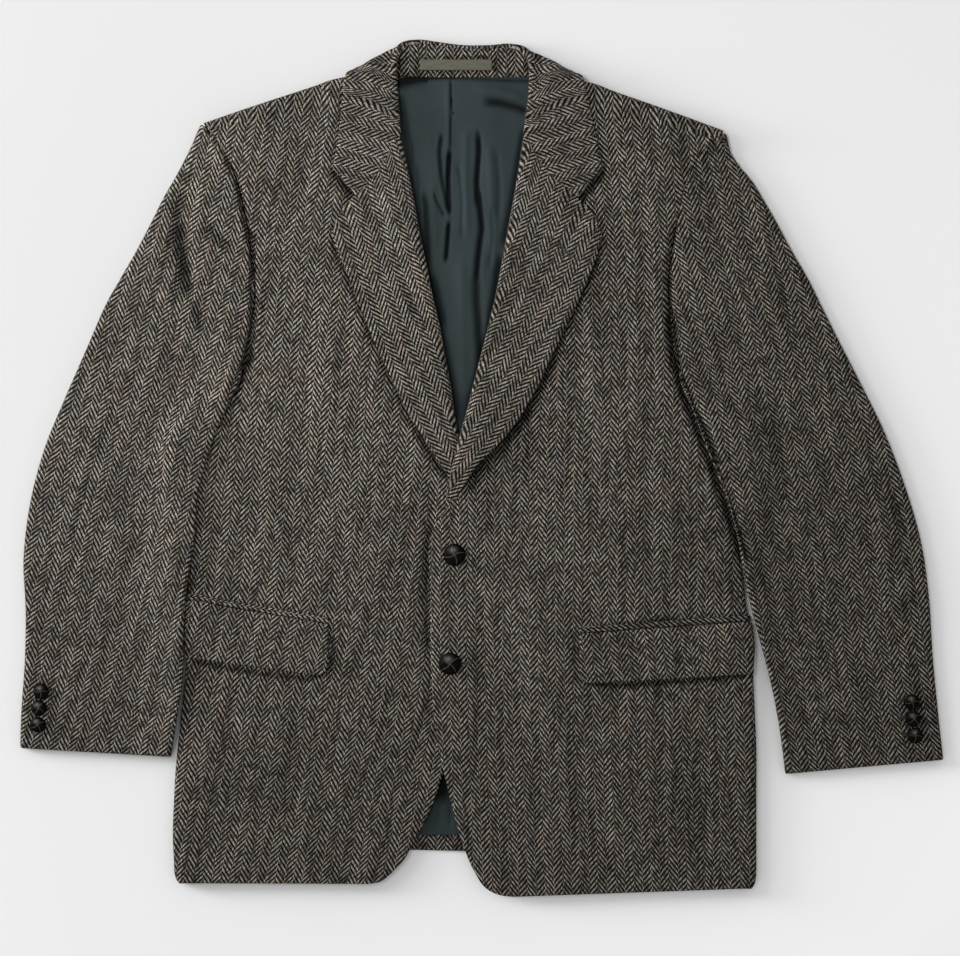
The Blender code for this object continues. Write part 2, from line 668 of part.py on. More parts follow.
def pocket_line(pocket, left, y_shift, standoff, wall, front_end):
    """A strip's section on the front: round the side fold and then along its surface."""
    out = 1 if left else -1
    y = pocket.side_y + y_shift
    edge = out * outline_x(y, left)
    high = front_mid(edge - out * FOLD_INSET, y, left)
    radius = (high - BACK_MID) / 2
    grow = FRONT_WALL / 2 + standoff + wall / 2
    turn = []
    for angle in np.radians((12, 50, 90)):
        reach = (radius + grow) * math.cos(angle) - radius
        turn.append((edge + out * reach, y, BACK_MID + radius + (radius + grow) * math.sin(angle)))
    flat = along([turn[-1][:2], front_end], (0, 0.25, 0.5, 0.72, 0.88, 1))[1:]
    return turn + [(x, y_, front_mid(x, y_, left) + grow) for x, y_ in flat]


def flap_rows(left):
    pocket = POCKET_LEFT if left else POCKET_RIGHT
    out = 1 if left else -1
    rows = []
    for share in (0, 0.2, 0.45, 0.72, 0.86, 0.95, 1):
        drop_front = share * pocket.drop_front
        short = FLAP_CORNER - (pocket.drop_front - drop_front)
        cut = FLAP_CORNER - math.sqrt(FLAP_CORNER**2 - short**2) if short > 0 else 0
        end = (pocket.front_x + out * min(cut, FLAP_CORNER), pocket.front_y - drop_front)
        stand = LAYER + FLAP_HANG * share
        rows.append(pocket_line(pocket, left, -share * pocket.drop_side, stand, FLAP_WALL, end))
    return rows


def jet_rows(left):
    pocket = POCKET_LEFT if left else POCKET_RIGHT
    rows = []
    for rise in (JET_GAP, JET_GAP + JET_WIDTH):
        end = (pocket.front_x, pocket.front_y + rise)
        rows.append(pocket_line(pocket, left, rise, LAYER, JET_WALL, end))
    return rows


def add_hanger(material):
    """The bare strip that the jacket hangs by, on the stand at the back of the neck."""
    right, left, low, high = HANGER
    behind_neck = [np.array(row) for row in stand_rows() if abs(row[0][0]) <= 1.3 * abs(right)]
    rows = []
    for y in (low, high):
        section = []
        for x in np.linspace(right, left, 6):
            level = max(float(np.interp(y, row[:, 1], row[:, 2])) for row in behind_neck)
            section.append((x, y, level + STAND_WALL / 2 + SEAM + HANGER_WALL / 2))
        rows.append(section)
    cloth("hanger_strip", rows, HANGER_WALL, material)


def add_button(name, place, ground, kind, material):
    """A leather-covered button: a low dome, turned about its shank."""
    profile = [(0.72, 0), (0.97, 0.22), (1, 0.42), (0.86, 0.72), (0.5, 0.94)]
    bm = bmesh.new()
    points = [bm.verts.new((r * kind.radius * METRE, 0, z * kind.height * METRE)) for r, z in profile]
    edges = [bm.edges.new(pair) for pair in zip(points, points[1:])]
    bmesh.ops.spin(bm, geom=points + edges, cent=(0, 0, 0), axis=(0, 0, 1), angle=math.tau,
                   steps=BUTTON_SIDES, use_merge=True)
    bmesh.ops.holes_fill(bm, edges=bm.edges, sides=BUTTON_SIDES)
    button = add_object(name, bm, material)
    button.location = np.array((*place, ground + BUTTON_SHANK)) * METRE
    return button


def build():
    for obj in list(bpy.data.objects):
        bpy.data.objects.remove(obj)
    tweed = make_material("tweed", (0.13, 0.105, 0.08), 0.95)
    satin = make_material("satin", (0.03, 0.042, 0.045), 0.45)
    tape = make_material("hanger_tape", (0.1, 0.095, 0.07), 0.5)
    leather = make_material("leather", (0.022, 0.011, 0.008), 0.35)

    cloth("collar_fall", fall_rows(), COLLAR_WALL, tweed)
    cloth("collar_stand", stand_rows(), STAND_WALL, tweed)
    cloth("back_lining", lining_rows(), LINING_WALL, satin)
    add_hanger(tape)
    for left in (False, True):
        hand = "left" if left else "right"
        front = front_rows(left)
        back = back_rows(left)
        top, under = sleeve_rows(left)
        cloth(f"front_{hand}", front, on_wall(front, left), tweed)
        cloth(f"back_{hand}", back, [[back_wall(x, y) for x, y, _ in row] for row in back], tweed)
        cloth(f"side_{hand}", side_rows(left), BACK_WALL, tweed)
        cloth(f"lapel_{hand}", lapel_rows(left), LAPEL_WALL, tweed)
        cloth(f"top_sleeve_{hand}", top, SLEEVE_WALL, tweed)
        cloth(f"under_sleeve_{hand}", under, SLEEVE_WALL, tweed)
        cloth(f"pocket_flap_{hand}", flap_rows(left), FLAP_WALL, tweed)
        cloth(f"pocket_jet_{hand}", jet_rows(left), JET_WALL, tweed)
        for number, place in enumerate(CUFF_BUTTONS[hand], 1):
            ground = sleeve_levels(*place, 0, left)[1] + SLEEVE_WALL / 2
            add_button(f"cuff_button_{hand}_{number}", place, ground, CUFF_BUTTON, leather)
    for name, place in FRONT_BUTTONS.items():
        ground = front_mid(*place, True) + FRONT_WALL / 2
        add_button(f"front_button_{name}", place, ground, FRONT_BUTTON, leather)


build()
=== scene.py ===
# Tweed hacking jacket, buttoned and laid flat on its back.
# Tables are in millimetres: +x to the wearer's left, +y from hem to collar, +z up from the table.
import math

import bmesh
import bpy
import numpy as np
from mathutils import Matrix, Vector


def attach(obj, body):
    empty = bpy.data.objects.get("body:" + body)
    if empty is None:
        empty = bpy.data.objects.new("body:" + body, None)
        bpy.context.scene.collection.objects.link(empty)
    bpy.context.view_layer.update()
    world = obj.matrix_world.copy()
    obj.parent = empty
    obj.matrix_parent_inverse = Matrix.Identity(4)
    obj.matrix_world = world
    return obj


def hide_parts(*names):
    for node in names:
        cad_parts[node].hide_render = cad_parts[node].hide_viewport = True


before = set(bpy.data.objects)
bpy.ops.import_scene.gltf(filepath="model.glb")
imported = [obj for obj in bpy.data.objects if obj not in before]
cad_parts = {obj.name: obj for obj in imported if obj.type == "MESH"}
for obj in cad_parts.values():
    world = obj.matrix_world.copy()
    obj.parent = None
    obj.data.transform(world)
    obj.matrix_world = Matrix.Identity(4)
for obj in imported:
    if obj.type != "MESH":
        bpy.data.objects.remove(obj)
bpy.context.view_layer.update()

metre = 0.001
print("frame loaded:", len(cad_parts), "nodes")


layers = {
    "back": 2.4, "lining": 1.0, "front": 3.4, "lapel": 3.2, "sleeve": 2.6,  # thickness of each wall
    "collar": 2.8, "stand": 2.4, "flap": 2.4, "jet": 1.4, "hanger": 1.0,
    "seam": 0.4, "lying": 0.5, "ease": 1.1,  # gaps: sewn, lying on each other, lying loosely
    "torso": 3.0, "hollow": 3.8, "pressed": 1.4,  # hollow inside the body, a sleeve, a sleeve on the body
}
padding = {"rise": 3.6, "wall": 2.0, "x": (110, 205), "y": (215, 290)}  # what lifts the shoulder's end
neck = {"y": (312, 343), "x": (114, 150)}  # where the collar's leaf under the back lifts everything
lap = {"drop": 1.2, "dropX": (-64, -34), "rise": 3.2, "riseX": (12, 46), "hemY": (-335, -285),
       "breakY": (20, 70), "breakRise": 4.8, "breakPlace": (-5, 5), "breakReach": (24, 62), "slender": 0.8}

backLevel = layers["back"] / 2
frontLevel = layers["back"] + layers["ease"] + layers["lining"] + layers["torso"] + layers["front"] / 2
sleeveLevel = layers["sleeve"] / 2
sleeveOnBody = frontLevel + layers["front"] / 2 + layers["lying"] + layers["sleeve"] / 2
# painted shade: creases this deep get their colour darkened, as shade in a fold would
shading = {"from": -2.4, "full": 4}  # the depth from which a crease is darkened, and where it is darkest
quarter = (90, 67, 45, 24, 6)  # degrees round a fold, from its upper face to its outer edge
roll = (-90, -60, -30, 0, 30, 60, 90)


def table(text):
    return [tuple(map(float, line.split())) for line in text.strip().splitlines()]


def pairs(text):
    return [tuple(map(float, pair.split())) for pair in text.split(",")]


def strokes(text):
    # creases: width, depth, length of the fading ends, and the x y of each point on the way
    return [(*row[:3], *zip(row[3::2], row[4::2])) for row in table(text)]


def ramp(value, start, end):
    t = np.clip((np.asarray(value, float) - start) / (end - start), 0, 1)
    return t * t * (3 - 2 * t)


def neckLift(x, y):
    return (layers["collar"] + layers["lying"]) * ramp(y, *neck["y"]) * (1 - ramp(abs(x), *neck["x"]))


def padAt(x, y):
    return ramp(abs(x), *padding["x"]) * ramp(y, *padding["y"])


def backWall(x, y):
    return layers["back"] + padding["wall"] * padAt(x, y)


def frontWall(x, y):
    return layers["front"] + padding["wall"] * padAt(x, y)


def backMid(x, y):
    return backWall(x, y) / 2 + neckLift(x, y)


def liningMid(x, y):
    return backMid(x, y) + backWall(x, y) / 2 + layers["ease"] + layers["lining"] / 2


def frontMid(x, y, left):
    level = frontLevel + neckLift(x, y) + padding["rise"] * padAt(x, y)
    if not left:
        return level - lap["drop"] * ramp(x, *lap["dropX"])
    over = (1 - ramp(x, *lap["riseX"])) * ramp(y, *lap["hemY"]) * (1 - ramp(y, *lap["breakY"]))
    fromBreak = math.hypot(x - lap["breakPlace"][0], lap["slender"] * (y - lap["breakPlace"][1]))
    return level + lap["rise"] * over + lap["breakRise"] * (1 - ramp(fromBreak, *lap["breakReach"]))


def along(points, shares):
    points = np.asarray(points, float)
    reach = np.append(0, np.cumsum(np.linalg.norm(np.diff(points, axis=0), axis=1)))
    return np.stack([np.interp(np.asarray(shares) * reach[-1], reach, axis) for axis in points.T], 1)


def unit(vector):
    return np.asarray(vector, float) / np.linalg.norm(vector)


def turned(edge, outward, low, high, degrees):
    # places round a fold whose outermost place is edge: at 90 degrees on top, at -90 below
    radius = (high - low) / 2
    edge, outward = np.asarray(edge, float), np.asarray(outward, float)
    return [(*(edge - outward * radius * (1 - math.cos(a))), low + radius * (1 + math.sin(a)))
            for a in np.radians(degrees)]


def smoothed(values, knots, fine):
    # a cubic through values at knots, read at fine
    values = np.asarray(values, float)
    if len(knots) < 3:
        share = ((fine - knots[0]) / (knots[-1] - knots[0])).reshape(-1, *[1] * (values.ndim - 1))
        return values[0] + (values[-1] - values[0]) * share
    gaps = np.diff(knots).reshape(-1, *[1] * (values.ndim - 1))
    slopes = np.diff(values, axis=0) / gaps
    inner = (slopes[1:] * gaps[:-1] + slopes[:-1] * gaps[1:]) / (gaps[1:] + gaps[:-1])
    tangents = np.concatenate([[2 * slopes[0] - inner[0]], inner, [2 * slopes[-1] - inner[-1]]])
    at = np.clip(np.searchsorted(knots, fine, side="right") - 1, 0, len(knots) - 2)
    width = np.diff(knots)[at]
    t = ((fine - knots[at]) / width).reshape(-1, *[1] * (values.ndim - 1))
    width = width.reshape(t.shape)
    return ((2 * t**3 - 3 * t**2 + 1) * values[at] + (t**3 - 2 * t**2 + t) * width * tangents[at]
            + (3 * t**2 - 2 * t**3) * values[at + 1] + (t**3 - t**2) * width * tangents[at + 1])


def spread(knots, spacing, rim):
    # finer places between knots, with two more beside each end for the rounded rim
    places = [knots[0]]
    for start, end, apart in zip(knots, knots[1:], np.broadcast_to(spacing, len(knots) - 1)):
        count = max(2 if end - start > 1.5 else 1, math.ceil((end - start) / apart))
        places += list(start + (end - start) * np.arange(1, count + 1) / count)
    places = np.array(places)
    near = np.array([0.15, 0.5]) * rim
    inside = places[(places > places[0] + 0.9 * rim) & (places < places[-1] - 0.9 * rim)]
    return np.concatenate([[places[0]], places[0] + near, inside, places[-1] - near[::-1], [places[-1]]])


def acrossWall(grid):
    # the unit vector across the cloth at each place
    rows, columns = np.gradient(grid, axis=0), np.gradient(grid, axis=1)
    normal = np.cross(columns, rows)
    return normal / np.maximum(np.linalg.norm(normal, axis=2, keepdims=True), 1e-9)


def creased(grid, creases):
    # soft troughs and ridges, each a width, depth, length of its fading ends and the points it follows
    lift = np.zeros(grid.shape[:2])
    for width, depth, fade, *points in creases:
        points = np.array(points, float)
        runs = np.linalg.norm(np.diff(points, axis=0), axis=1)
        starts = np.append(0, np.cumsum(runs))
        nearest = np.full(lift.shape, 1e9)
        reach = np.zeros(lift.shape)
        for start, step, run, before in zip(points, np.diff(points, axis=0), runs, starts):
            away = grid[..., :2] - start
            t = np.clip((away @ step) / run**2, 0, 1)
            aside = np.linalg.norm(away - t[..., None] * step, axis=2)
            closer = aside < nearest
            nearest = np.where(closer, aside, nearest)
            reach = np.where(closer, before + t * run, reach)
        fade = max(fade, 0.01)
        ends = ramp(reach, -0.1, fade) * (1 - ramp(reach, starts[-1] - fade, starts[-1] + 0.1))
        lift += depth * ends * np.exp(-(nearest / width) ** 2)
    return lift


def clothUv(grid, lean, weftLean, anchor, wrapped):
    # u across the stripes and v along them, in metres; lean is how far the stripes lean at each row
    rows, columns = grid.shape[:2]
    column = 0 if anchor == "first" else columns - 1
    spine = np.diff(grid[:, column], axis=0)
    share = np.linalg.norm(spine, axis=1) / np.maximum(np.linalg.norm(spine[:, :2], axis=1), 1e-6)
    spine = spine[:, :2] * np.minimum(share, 3)[:, None]
    places = np.concatenate([[grid[0, column, :2]], grid[0, column, :2] + np.cumsum(spine, axis=0)])
    heading = (grid[:, -1, :2] - grid[:, 0, :2]) * (-1 if wrapped else 1)
    heading /= np.maximum(np.linalg.norm(heading, axis=1, keepdims=True), 1e-6)
    steps = np.linalg.norm(np.diff(grid, axis=1), axis=2)
    reach = np.concatenate([np.zeros((rows, 1)), np.cumsum(steps, axis=1)], axis=1)
    reach -= reach[:, column][:, None]

    def measured(degrees, sidewise):
        a = np.radians(np.interp(np.linspace(0, 1, rows), np.linspace(0, 1, len(degrees)), degrees))
        axis = np.stack([np.cos(a), -np.sin(a)] if sidewise else [np.sin(a), np.cos(a)], 1)
        middle = (axis[1:] + axis[:-1]) / 2
        base = np.append(0, np.cumsum((np.diff(places, axis=0) * middle).sum(1)))
        start = (places[0] * axis[0]).sum()
        return start + base[:, None] + reach * (heading * axis).sum(1)[:, None]

    return np.stack([measured(lean, True), measured(weftLean, False)], 2) * metre


def clothPiece(name, rows, wall, cut, material):
    # one closed wall of cloth round the sections in rows; cut holds its spacing, grain and creases
    rows = np.array(rows, float)
    wall = np.broadcast_to(np.asarray(wall, float), rows.shape[:2])
    rim = float(wall.mean())
    between = [np.append(0, np.cumsum(np.linalg.norm(np.diff(rows, axis=axis), axis=2).mean(1 - axis)))
               for axis in (0, 1)]
    fine = [spread(knots, spacing, rim) for knots, spacing in zip(between, cut["spacing"])]
    grid = smoothed(rows, between[0], fine[0])
    grid = np.moveaxis(smoothed(np.moveaxis(grid, 1, 0), between[1], fine[1]), 0, 1)
    thick = smoothed(wall, between[0], fine[0])
    thick = smoothed(thick.T, between[1], fine[1]).T
    normal = acrossWall(grid)
    if normal[..., 2].mean() < 0:
        normal = -normal
    uvs = clothUv(grid, cut.get("lean", (0,)), cut.get("weftLean", cut.get("lean", (0,))),
                  cut.get("anchor", "last"), cut.get("wrapped", False))
    uvs += np.array(cut.get("shift", (0, 0))) * metre
    creases = cut.get("creases", ())
    # deep creases get painted shade in their colour, at their full depth even where room keeps the shape
    # shallower
    sharp = [crease for crease in creases if crease[1] <= shading["from"]]
    folds = np.clip(-creased(grid, sharp) / shading["full"], 0, 1).ravel()  # how dark the fold is painted
    lift = np.maximum(creased(grid, creases), -cut.get("room", 9)) * ramp(normal[..., 2], 0.15, 0.7)
    grid = grid + normal * lift[..., None]

    # the wall thins to a round rim along its free edges, and less so where a pressed seam joins it
    reach = {"bottom": fine[0] - fine[0][0], "top": fine[0][-1] - fine[0],
             "first": fine[1] - fine[1][0], "last": fine[1][-1] - fine[1]}
    for edge in cut.get("joined", ()):
        reach[edge] = reach[edge] + rim
    inset = np.minimum(np.minimum(reach["bottom"], reach["top"])[:, None],
                       np.minimum(reach["first"], reach["last"])[None, :])
    flush = 0.09 + 0.8 * ramp(grid[..., 1], *cut.get("flush", (900, 901)))
    half = thick / 2 * np.sqrt(np.clip(1 - (1 - np.clip(inset / (rim / 2), 0, 1)) ** 2, flush, 1))
    side = normal * half[..., None]
    lower, upper = (grid - side).reshape(-1, 3) * metre, (grid + side).reshape(-1, 3) * metre
    count, width = grid.shape[:2]
    bm = bmesh.new()
    bmesh.ops.create_grid(bm, x_segments=width - 1, y_segments=count - 1, size=1)
    lower[:, 2], upper[:, 2] = np.maximum(lower[:, 2], 0), np.maximum(upper[:, 2], 0)
    place = bm.verts.layers.int.new("place")
    foldPaintedShade = bm.verts.layers.float.new("foldPaintedShade")
    for vertex in bm.verts:
        vertex[place] = (round((vertex.co.y + 1) / 2 * (count - 1)) * width
                         + round((vertex.co.x + 1) / 2 * (width - 1)))
    made = bmesh.ops.extrude_face_region(bm, geom=bm.faces[:], use_keep_orig=True)
    raised = {item for item in made["geom"] if isinstance(item, bmesh.types.BMVert)}
    for vertex in bm.verts:
        vertex.co = (upper if vertex in raised else lower)[vertex[place]]
        vertex[foldPaintedShade] = folds[vertex[place]]
    bmesh.ops.recalc_face_normals(bm, faces=bm.faces)
    if bm.calc_volume(signed=True) < 0:
        bmesh.ops.reverse_faces(bm, faces=bm.faces)
    mesh = meshOf(bm, name)
    order = np.zeros(len(mesh.vertices), np.int32)
    mesh.attributes["place"].data.foreach_get("value", order)
    corners = np.zeros(len(mesh.loops), np.int32)
    mesh.loops.foreach_get("vertex_index", corners)
    layer = mesh.uv_layers.new(name="cloth")
    layer.data.foreach_set("uv", uvs.reshape(-1, 2)[order[corners]].astype(np.float32).ravel())
    mesh.attributes.remove(mesh.attributes["place"])
    piece = finished(name, mesh, material)
    area = float(np.linalg.norm(np.cross(grid[1:, :-1] - grid[:-1, :-1], grid[:-1, 1:] - grid[:-1, :-1]),
                                axis=2).sum()) * metre**2
    print(f"  {name}: {len(mesh.polygons)} faces, cloth area {area:.4f} m2")
    return piece


def finished(name, mesh, material):
    mesh.materials.append(material)
    mesh.shade_smooth()
    piece = bpy.data.objects.new(name, mesh)
    bpy.context.collection.objects.link(piece)
    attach(piece, "root")
    return piece


def sewn(name, rows, wall, cut, material, node):
    # a piece of cloth that stands for its CAD node, which it hides
    piece = clothPiece(name, rows, wall, cut, material)
    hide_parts(node or name.replace("Cloth", ""))
    return piece


def meshOf(bm, name):
    mesh = bpy.data.meshes.new(name)
    bm.to_mesh(mesh)
    bm.free()
    return mesh


def turnedTo(bm, verts, degrees):
    bmesh.ops.rotate(bm, verts=verts, cent=(0, 0, 0), matrix=Matrix.Rotation(math.radians(degrees), 3, "Z"))


def putDown(bm, degrees, x, y, z):
    # turned about its own middle, moved, and brought from millimetres to metres
    turnedTo(bm, bm.verts, degrees)
    bmesh.ops.translate(bm, verts=bm.verts, vec=(x, y, z))
    bmesh.ops.scale(bm, verts=bm.verts, vec=(metre,) * 3)


class Wire:
    # one socket of a material; sums on wires add Math nodes to its tree
    def __init__(self, tree, socket=None):
        self.tree, self.socket = tree, socket

    def node(self, kind, settings=None, inputs=None, output=0):
        made = self.tree.nodes.new("ShaderNode" + kind)
        for key, value in (settings or {}).items():
            setattr(made, key, value)
        for key, value in (inputs or {}).items():
            if isinstance(value, Wire):
                self.tree.links.new(value.socket, made.inputs[key])
            else:
                made.inputs[key].default_value = value
        return Wire(self.tree, made.outputs[output])

    def part(self, name):
        return Wire(self.tree, self.socket.node.outputs[name])

    def sum(self, operation, *values):
        return self.node("Math", {"operation": operation}, dict(enumerate(values)))

    def __add__(self, other):
        return self.sum("ADD", self, other)

    def __radd__(self, other):
        return self.sum("ADD", other, self)

    def __sub__(self, other):
        return self.sum("SUBTRACT", self, other)

    def __rsub__(self, other):
        return self.sum("SUBTRACT", other, self)

    def __mul__(self, other):
        return self.sum("MULTIPLY", self, other)

    def __rmul__(self, other):
        return self.sum("MULTIPLY", other, self)

    def __truediv__(self, other):
        return self.sum("DIVIDE", self, other)

    def __rtruediv__(self, other):
        return self.sum("DIVIDE", other, self)

    def __mod__(self, other):
        return self.sum("FLOORED_MODULO", self, other)

    def __abs__(self):
        return self.sum("ABSOLUTE", self)

    def floor(self):
        return self.sum("FLOOR", self)

    def fraction(self):
        return self.sum("FRACT", self)

    def smoothstep(self, low, high, start=0.0, end=1.0):
        return self.node("MapRange", {"interpolation_type": "SMOOTHSTEP"},
                         {0: self, 1: low, 2: high, 3: start, 4: end})

    def mixed(self, first, second):
        # two colours mixed by this wire
        def colour(value):
            return value if isinstance(value, Wire) else (*value, 1)
        return self.node("Mix", {"data_type": "RGBA"},
                         {"Factor": self, 6: colour(first), 7: colour(second)}, 2)

    def noise(self, place, scale, detail=2.0, roughness=0.5):
        return self.node("TexNoise", {"noise_dimensions": "3D"},
                         {"Vector": place, "Scale": scale, "Detail": detail, "Roughness": roughness})

    def scaled(self, colour, share):
        return self.node("VectorMath", {"operation": "SCALE"}, {0: colour, "Scale": share})

    def tinted(self, colour, tint):
        return self.node("VectorMath", {"operation": "MULTIPLY"}, {0: colour, 1: tint})

    def placed(self, x, y, z=0.0):
        return self.node("CombineXYZ", {}, {0: x, 1: y, 2: z})


def newMaterial(name):
    material = bpy.data.materials.new(name)
    material.use_nodes = True
    shader = material.node_tree.nodes["Principled BSDF"]
    return material, Wire(material.node_tree), shader


def clothPlace(start):
    # millimetres across and along the cloth
    split = start.node("SeparateXYZ", {}, {0: start.node("UVMap", {"uv_map": "cloth"})})
    return split.part("X") * 1000, split.part("Y") * 1000


def dressed(start, shader, varied, fixed):
    # what varies over the surface is linked, and what doesn't is set on the shader's own socket
    for key, value in varied.items():
        start.tree.links.new(value.socket, shader.inputs[key])
    for key, value in fixed.items():
        shader.inputs[key].default_value = value


tweedSettings = {
    "endPitch": 1.03, "pickPitch": 1.27, "wander": 2.4,  # millimetres between yarns, and how far they stray
    "cream": (0.199, 0.182, 0.159), "sand": (0.096, 0.087, 0.075),
    "black": (0.0026, 0.0022, 0.0019), "brown": (0.0100, 0.0082, 0.0062),
    "rust": (0.098, 0.048, 0.032), "ochre": (0.150, 0.112, 0.062), "slate": (0.055, 0.062, 0.070),
    "warmHaze": (1.07, 0.975, 0.965), "coolHaze": (0.955, 0.995, 1.055), "mossHaze": (1.0, 1.025, 0.94),
    # foldShade is how much painted shade darkens deep creases, and nap is the colour of a painted sheen
    "paintedNapSheen": (0.046, 0.043, 0.038), "bump": 0.00028, "foldShade": 0.8,
}


def tweedMaterial():
    # a broken herringbone of a two-and-two twill: eight warp ends each way, light warp on dark weft
    s = tweedSettings
    material, start, shader = newMaterial("tweed")
    u, v = clothPlace(start)
    u2 = u + (start.noise(start.placed(u * 0.04, v * 0.03), 1.0, 2.0) - 0.5) * s["wander"]
    v2 = v + (start.noise(start.placed(u * 0.05, v * 0.05, 9.0), 1.0, 2.0) - 0.5) * s["wander"]
    end = u2 / s["endPitch"]
    endNumber = end.floor()
    stripe = (endNumber / 8).floor()
    inStripe = endNumber - stripe * 8
    odd = stripe % 2
    step = inStripe + odd * (7 - 2 * inStripe)
    drawn = end / 8 - stripe
    drawn = (drawn + odd * (1 - 2 * drawn)) * 8 - 0.5
    pick = v2 / s["pickPitch"]
    phase = (pick + step * 0.6 + drawn * 0.4 + odd * 2) / 4
    ragged = (start.noise(start.placed(u * 0.9, v * 0.9, 3.0), 1.0, 2.0, 0.6) - 0.5) * 0.56
    along = abs(phase.fraction() - 0.5) * 2 + ragged
    light = along.smoothstep(0.32, 0.54, 1.0, 0.0)
    across = abs(end.fraction() - 0.5) * 2
    rowAcross = abs(pick.fraction() - 0.5) * 2
    # each yarn's round profile across it: it gives the bump, and painted shade that darkens the yarn's colour
    # towards its sides
    warpRound = 1 - across * across * 0.72
    weftRound = 1 - rowAcross * rowAcross * 0.55

    # each float has its own brightness, and each yarn its own mix of fibres along its length
    warpFloat = start.node("TexWhiteNoise", {"noise_dimensions": "2D"},
                           {"Vector": start.placed(endNumber, phase.floor())})
    weftFloat = start.node("TexWhiteNoise", {"noise_dimensions": "2D"},
                           {"Vector": start.placed((end / 2).floor(), pick.floor())})
    warp = start.noise(start.placed(endNumber * 0.83, v * 0.07, 1.0), 1.0, 2.0, 0.6)
    fleck = start.noise(start.placed(u * 0.30, v * 0.085, 11.0), 1.0, 2.0, 0.65)
    tint = start.noise(start.placed(u * 0.16, v * 0.05, 17.0), 1.0, 2.0, 0.6)
    cream = (warp * 0.65 + warpFloat * 0.35).smoothstep(0.30, 0.64).mixed(s["sand"], s["cream"])
    cream = (fleck.smoothstep(0.58, 0.70) * 0.12).mixed(cream, s["ochre"])
    cream = (fleck.smoothstep(0.30, 0.42, 1.0, 0.0) * 0.12).mixed(cream, s["slate"])
    cream = (tint.smoothstep(0.58, 0.74) * 0.11).mixed(cream, s["rust"])
    dark = weftFloat.smoothstep(0.45, 1.0).mixed(s["black"], s["brown"])
    dark = (tint.smoothstep(0.56, 0.72) * 0.09).mixed(dark, s["rust"])
    # painted shade: warp and weft colours darken towards each yarn's sides by its round profile; the
    # brightness of each float is the yarn's own
    warpShade = (0.70 + warpFloat * 0.68) * warpRound
    colour = light.mixed(start.scaled(dark, 0.5 + weftRound * 0.7), start.scaled(cream, warpShade))
    column = start.noise(start.placed(stripe * 3.7, v * 0.006, 29.0), 1.0, 1.0)
    streak = start.noise(start.placed(u * 0.095, v * 0.009, 23.0), 1.0, 2.0)
    slub = start.noise(start.placed(u * 0.21, v * 0.014, 25.0), 1.0, 2.0)
    cloud = start.noise(start.placed(u * 0.075, v * 0.05, 41.0), 1.0, 3.0, 0.6)
    bar = start.noise(start.placed(u * 0.020, v * 0.10, 37.0), 1.0, 2.0)
    shade = cloud * 0.66 + streak * 1.2 + slub * 0.9 + bar * 0.6 + column * 0.52 - 0.94
    colour = start.scaled(colour, shade)
    for haze, sideways, upward, slot in (("warmHaze", 0.12, 0.040, 51.0), ("coolHaze", 0.10, 0.035, 63.0),
                                         ("mossHaze", 0.14, 0.050, 77.0)):
        patch = start.noise(start.placed(u * sideways, v * upward, slot), 1.0, 3.0, 0.6)
        colour = start.tinted(colour, patch.smoothstep(0.44, 0.64).mixed((1, 1, 1), s[haze]))
    # painted shade: the colour is darkened along the bottoms of deep creases
    foldPaintedShade = start.node("Attribute", {"attribute_name": "foldPaintedShade"}, output="Fac")
    colour = start.scaled(colour, 1 - foldPaintedShade * s["foldShade"])
    # painted sheen: where the cloth is seen at a slant, near its outline, its colour turns to the even grey
    # of a nap's sheen
    slant = start.node("LayerWeight", {}, {"Blend": 0.5}, "Facing")
    colour = (slant.smoothstep(0.45, 0.95) * (1 - foldPaintedShade) * 0.75).mixed(colour, s["paintedNapSheen"])

    fuzz = start.noise(start.placed(u * 2.4, v * 2.4, 5.0), 1.0, 3.0, 0.7)
    relief = light * warpRound + (1 - light) * weftRound * 0.7 + fuzz * 0.8
    bump = start.node("Bump", {}, {"Strength": 0.6, "Distance": s["bump"], "Height": relief})
    dressed(start, shader, {"Base Color": colour, "Normal": bump},
            {"Roughness": 0.95, "Specular IOR Level": 0.05})
    return material


# foldShade is how much painted shade darkens the satin's deep creases
satinSettings = {"deep": (0.0140, 0.0198, 0.0216), "face": (0.0242, 0.0330, 0.0354), "foldShade": 0.94}


def satinMaterial():
    s = satinSettings
    material, start, shader = newMaterial("satin")
    u, v = clothPlace(start)
    cloud = start.noise(start.placed(u * 0.02, v * 0.01), 1.0, 3.0)
    thread = start.noise(start.placed(u * 3.5, v * 0.25, 2.0), 1.0, 2.0)
    colour = (cloud * 0.8 + thread * 0.3).smoothstep(0.25, 0.85).mixed(s["deep"], s["face"])
    # painted shade: the colour is darkened along the bottoms of deep creases
    foldPaintedShade = start.node("Attribute", {"attribute_name": "foldPaintedShade"}, output="Fac")
    colour = start.scaled(colour, 1 - foldPaintedShade * s["foldShade"])
    bump = start.node("Bump", {}, {"Strength": 0.25, "Distance": 0.00012, "Height": thread})
    dressed(start, shader, {"Base Color": colour, "Normal": bump, "Roughness": 0.52 + cloud * 0.12},
            {"Specular IOR Level": 0.04})
    return material


tapeSettings = {"deep": (0.036, 0.0345, 0.0205), "face": (0.060, 0.058, 0.036)}


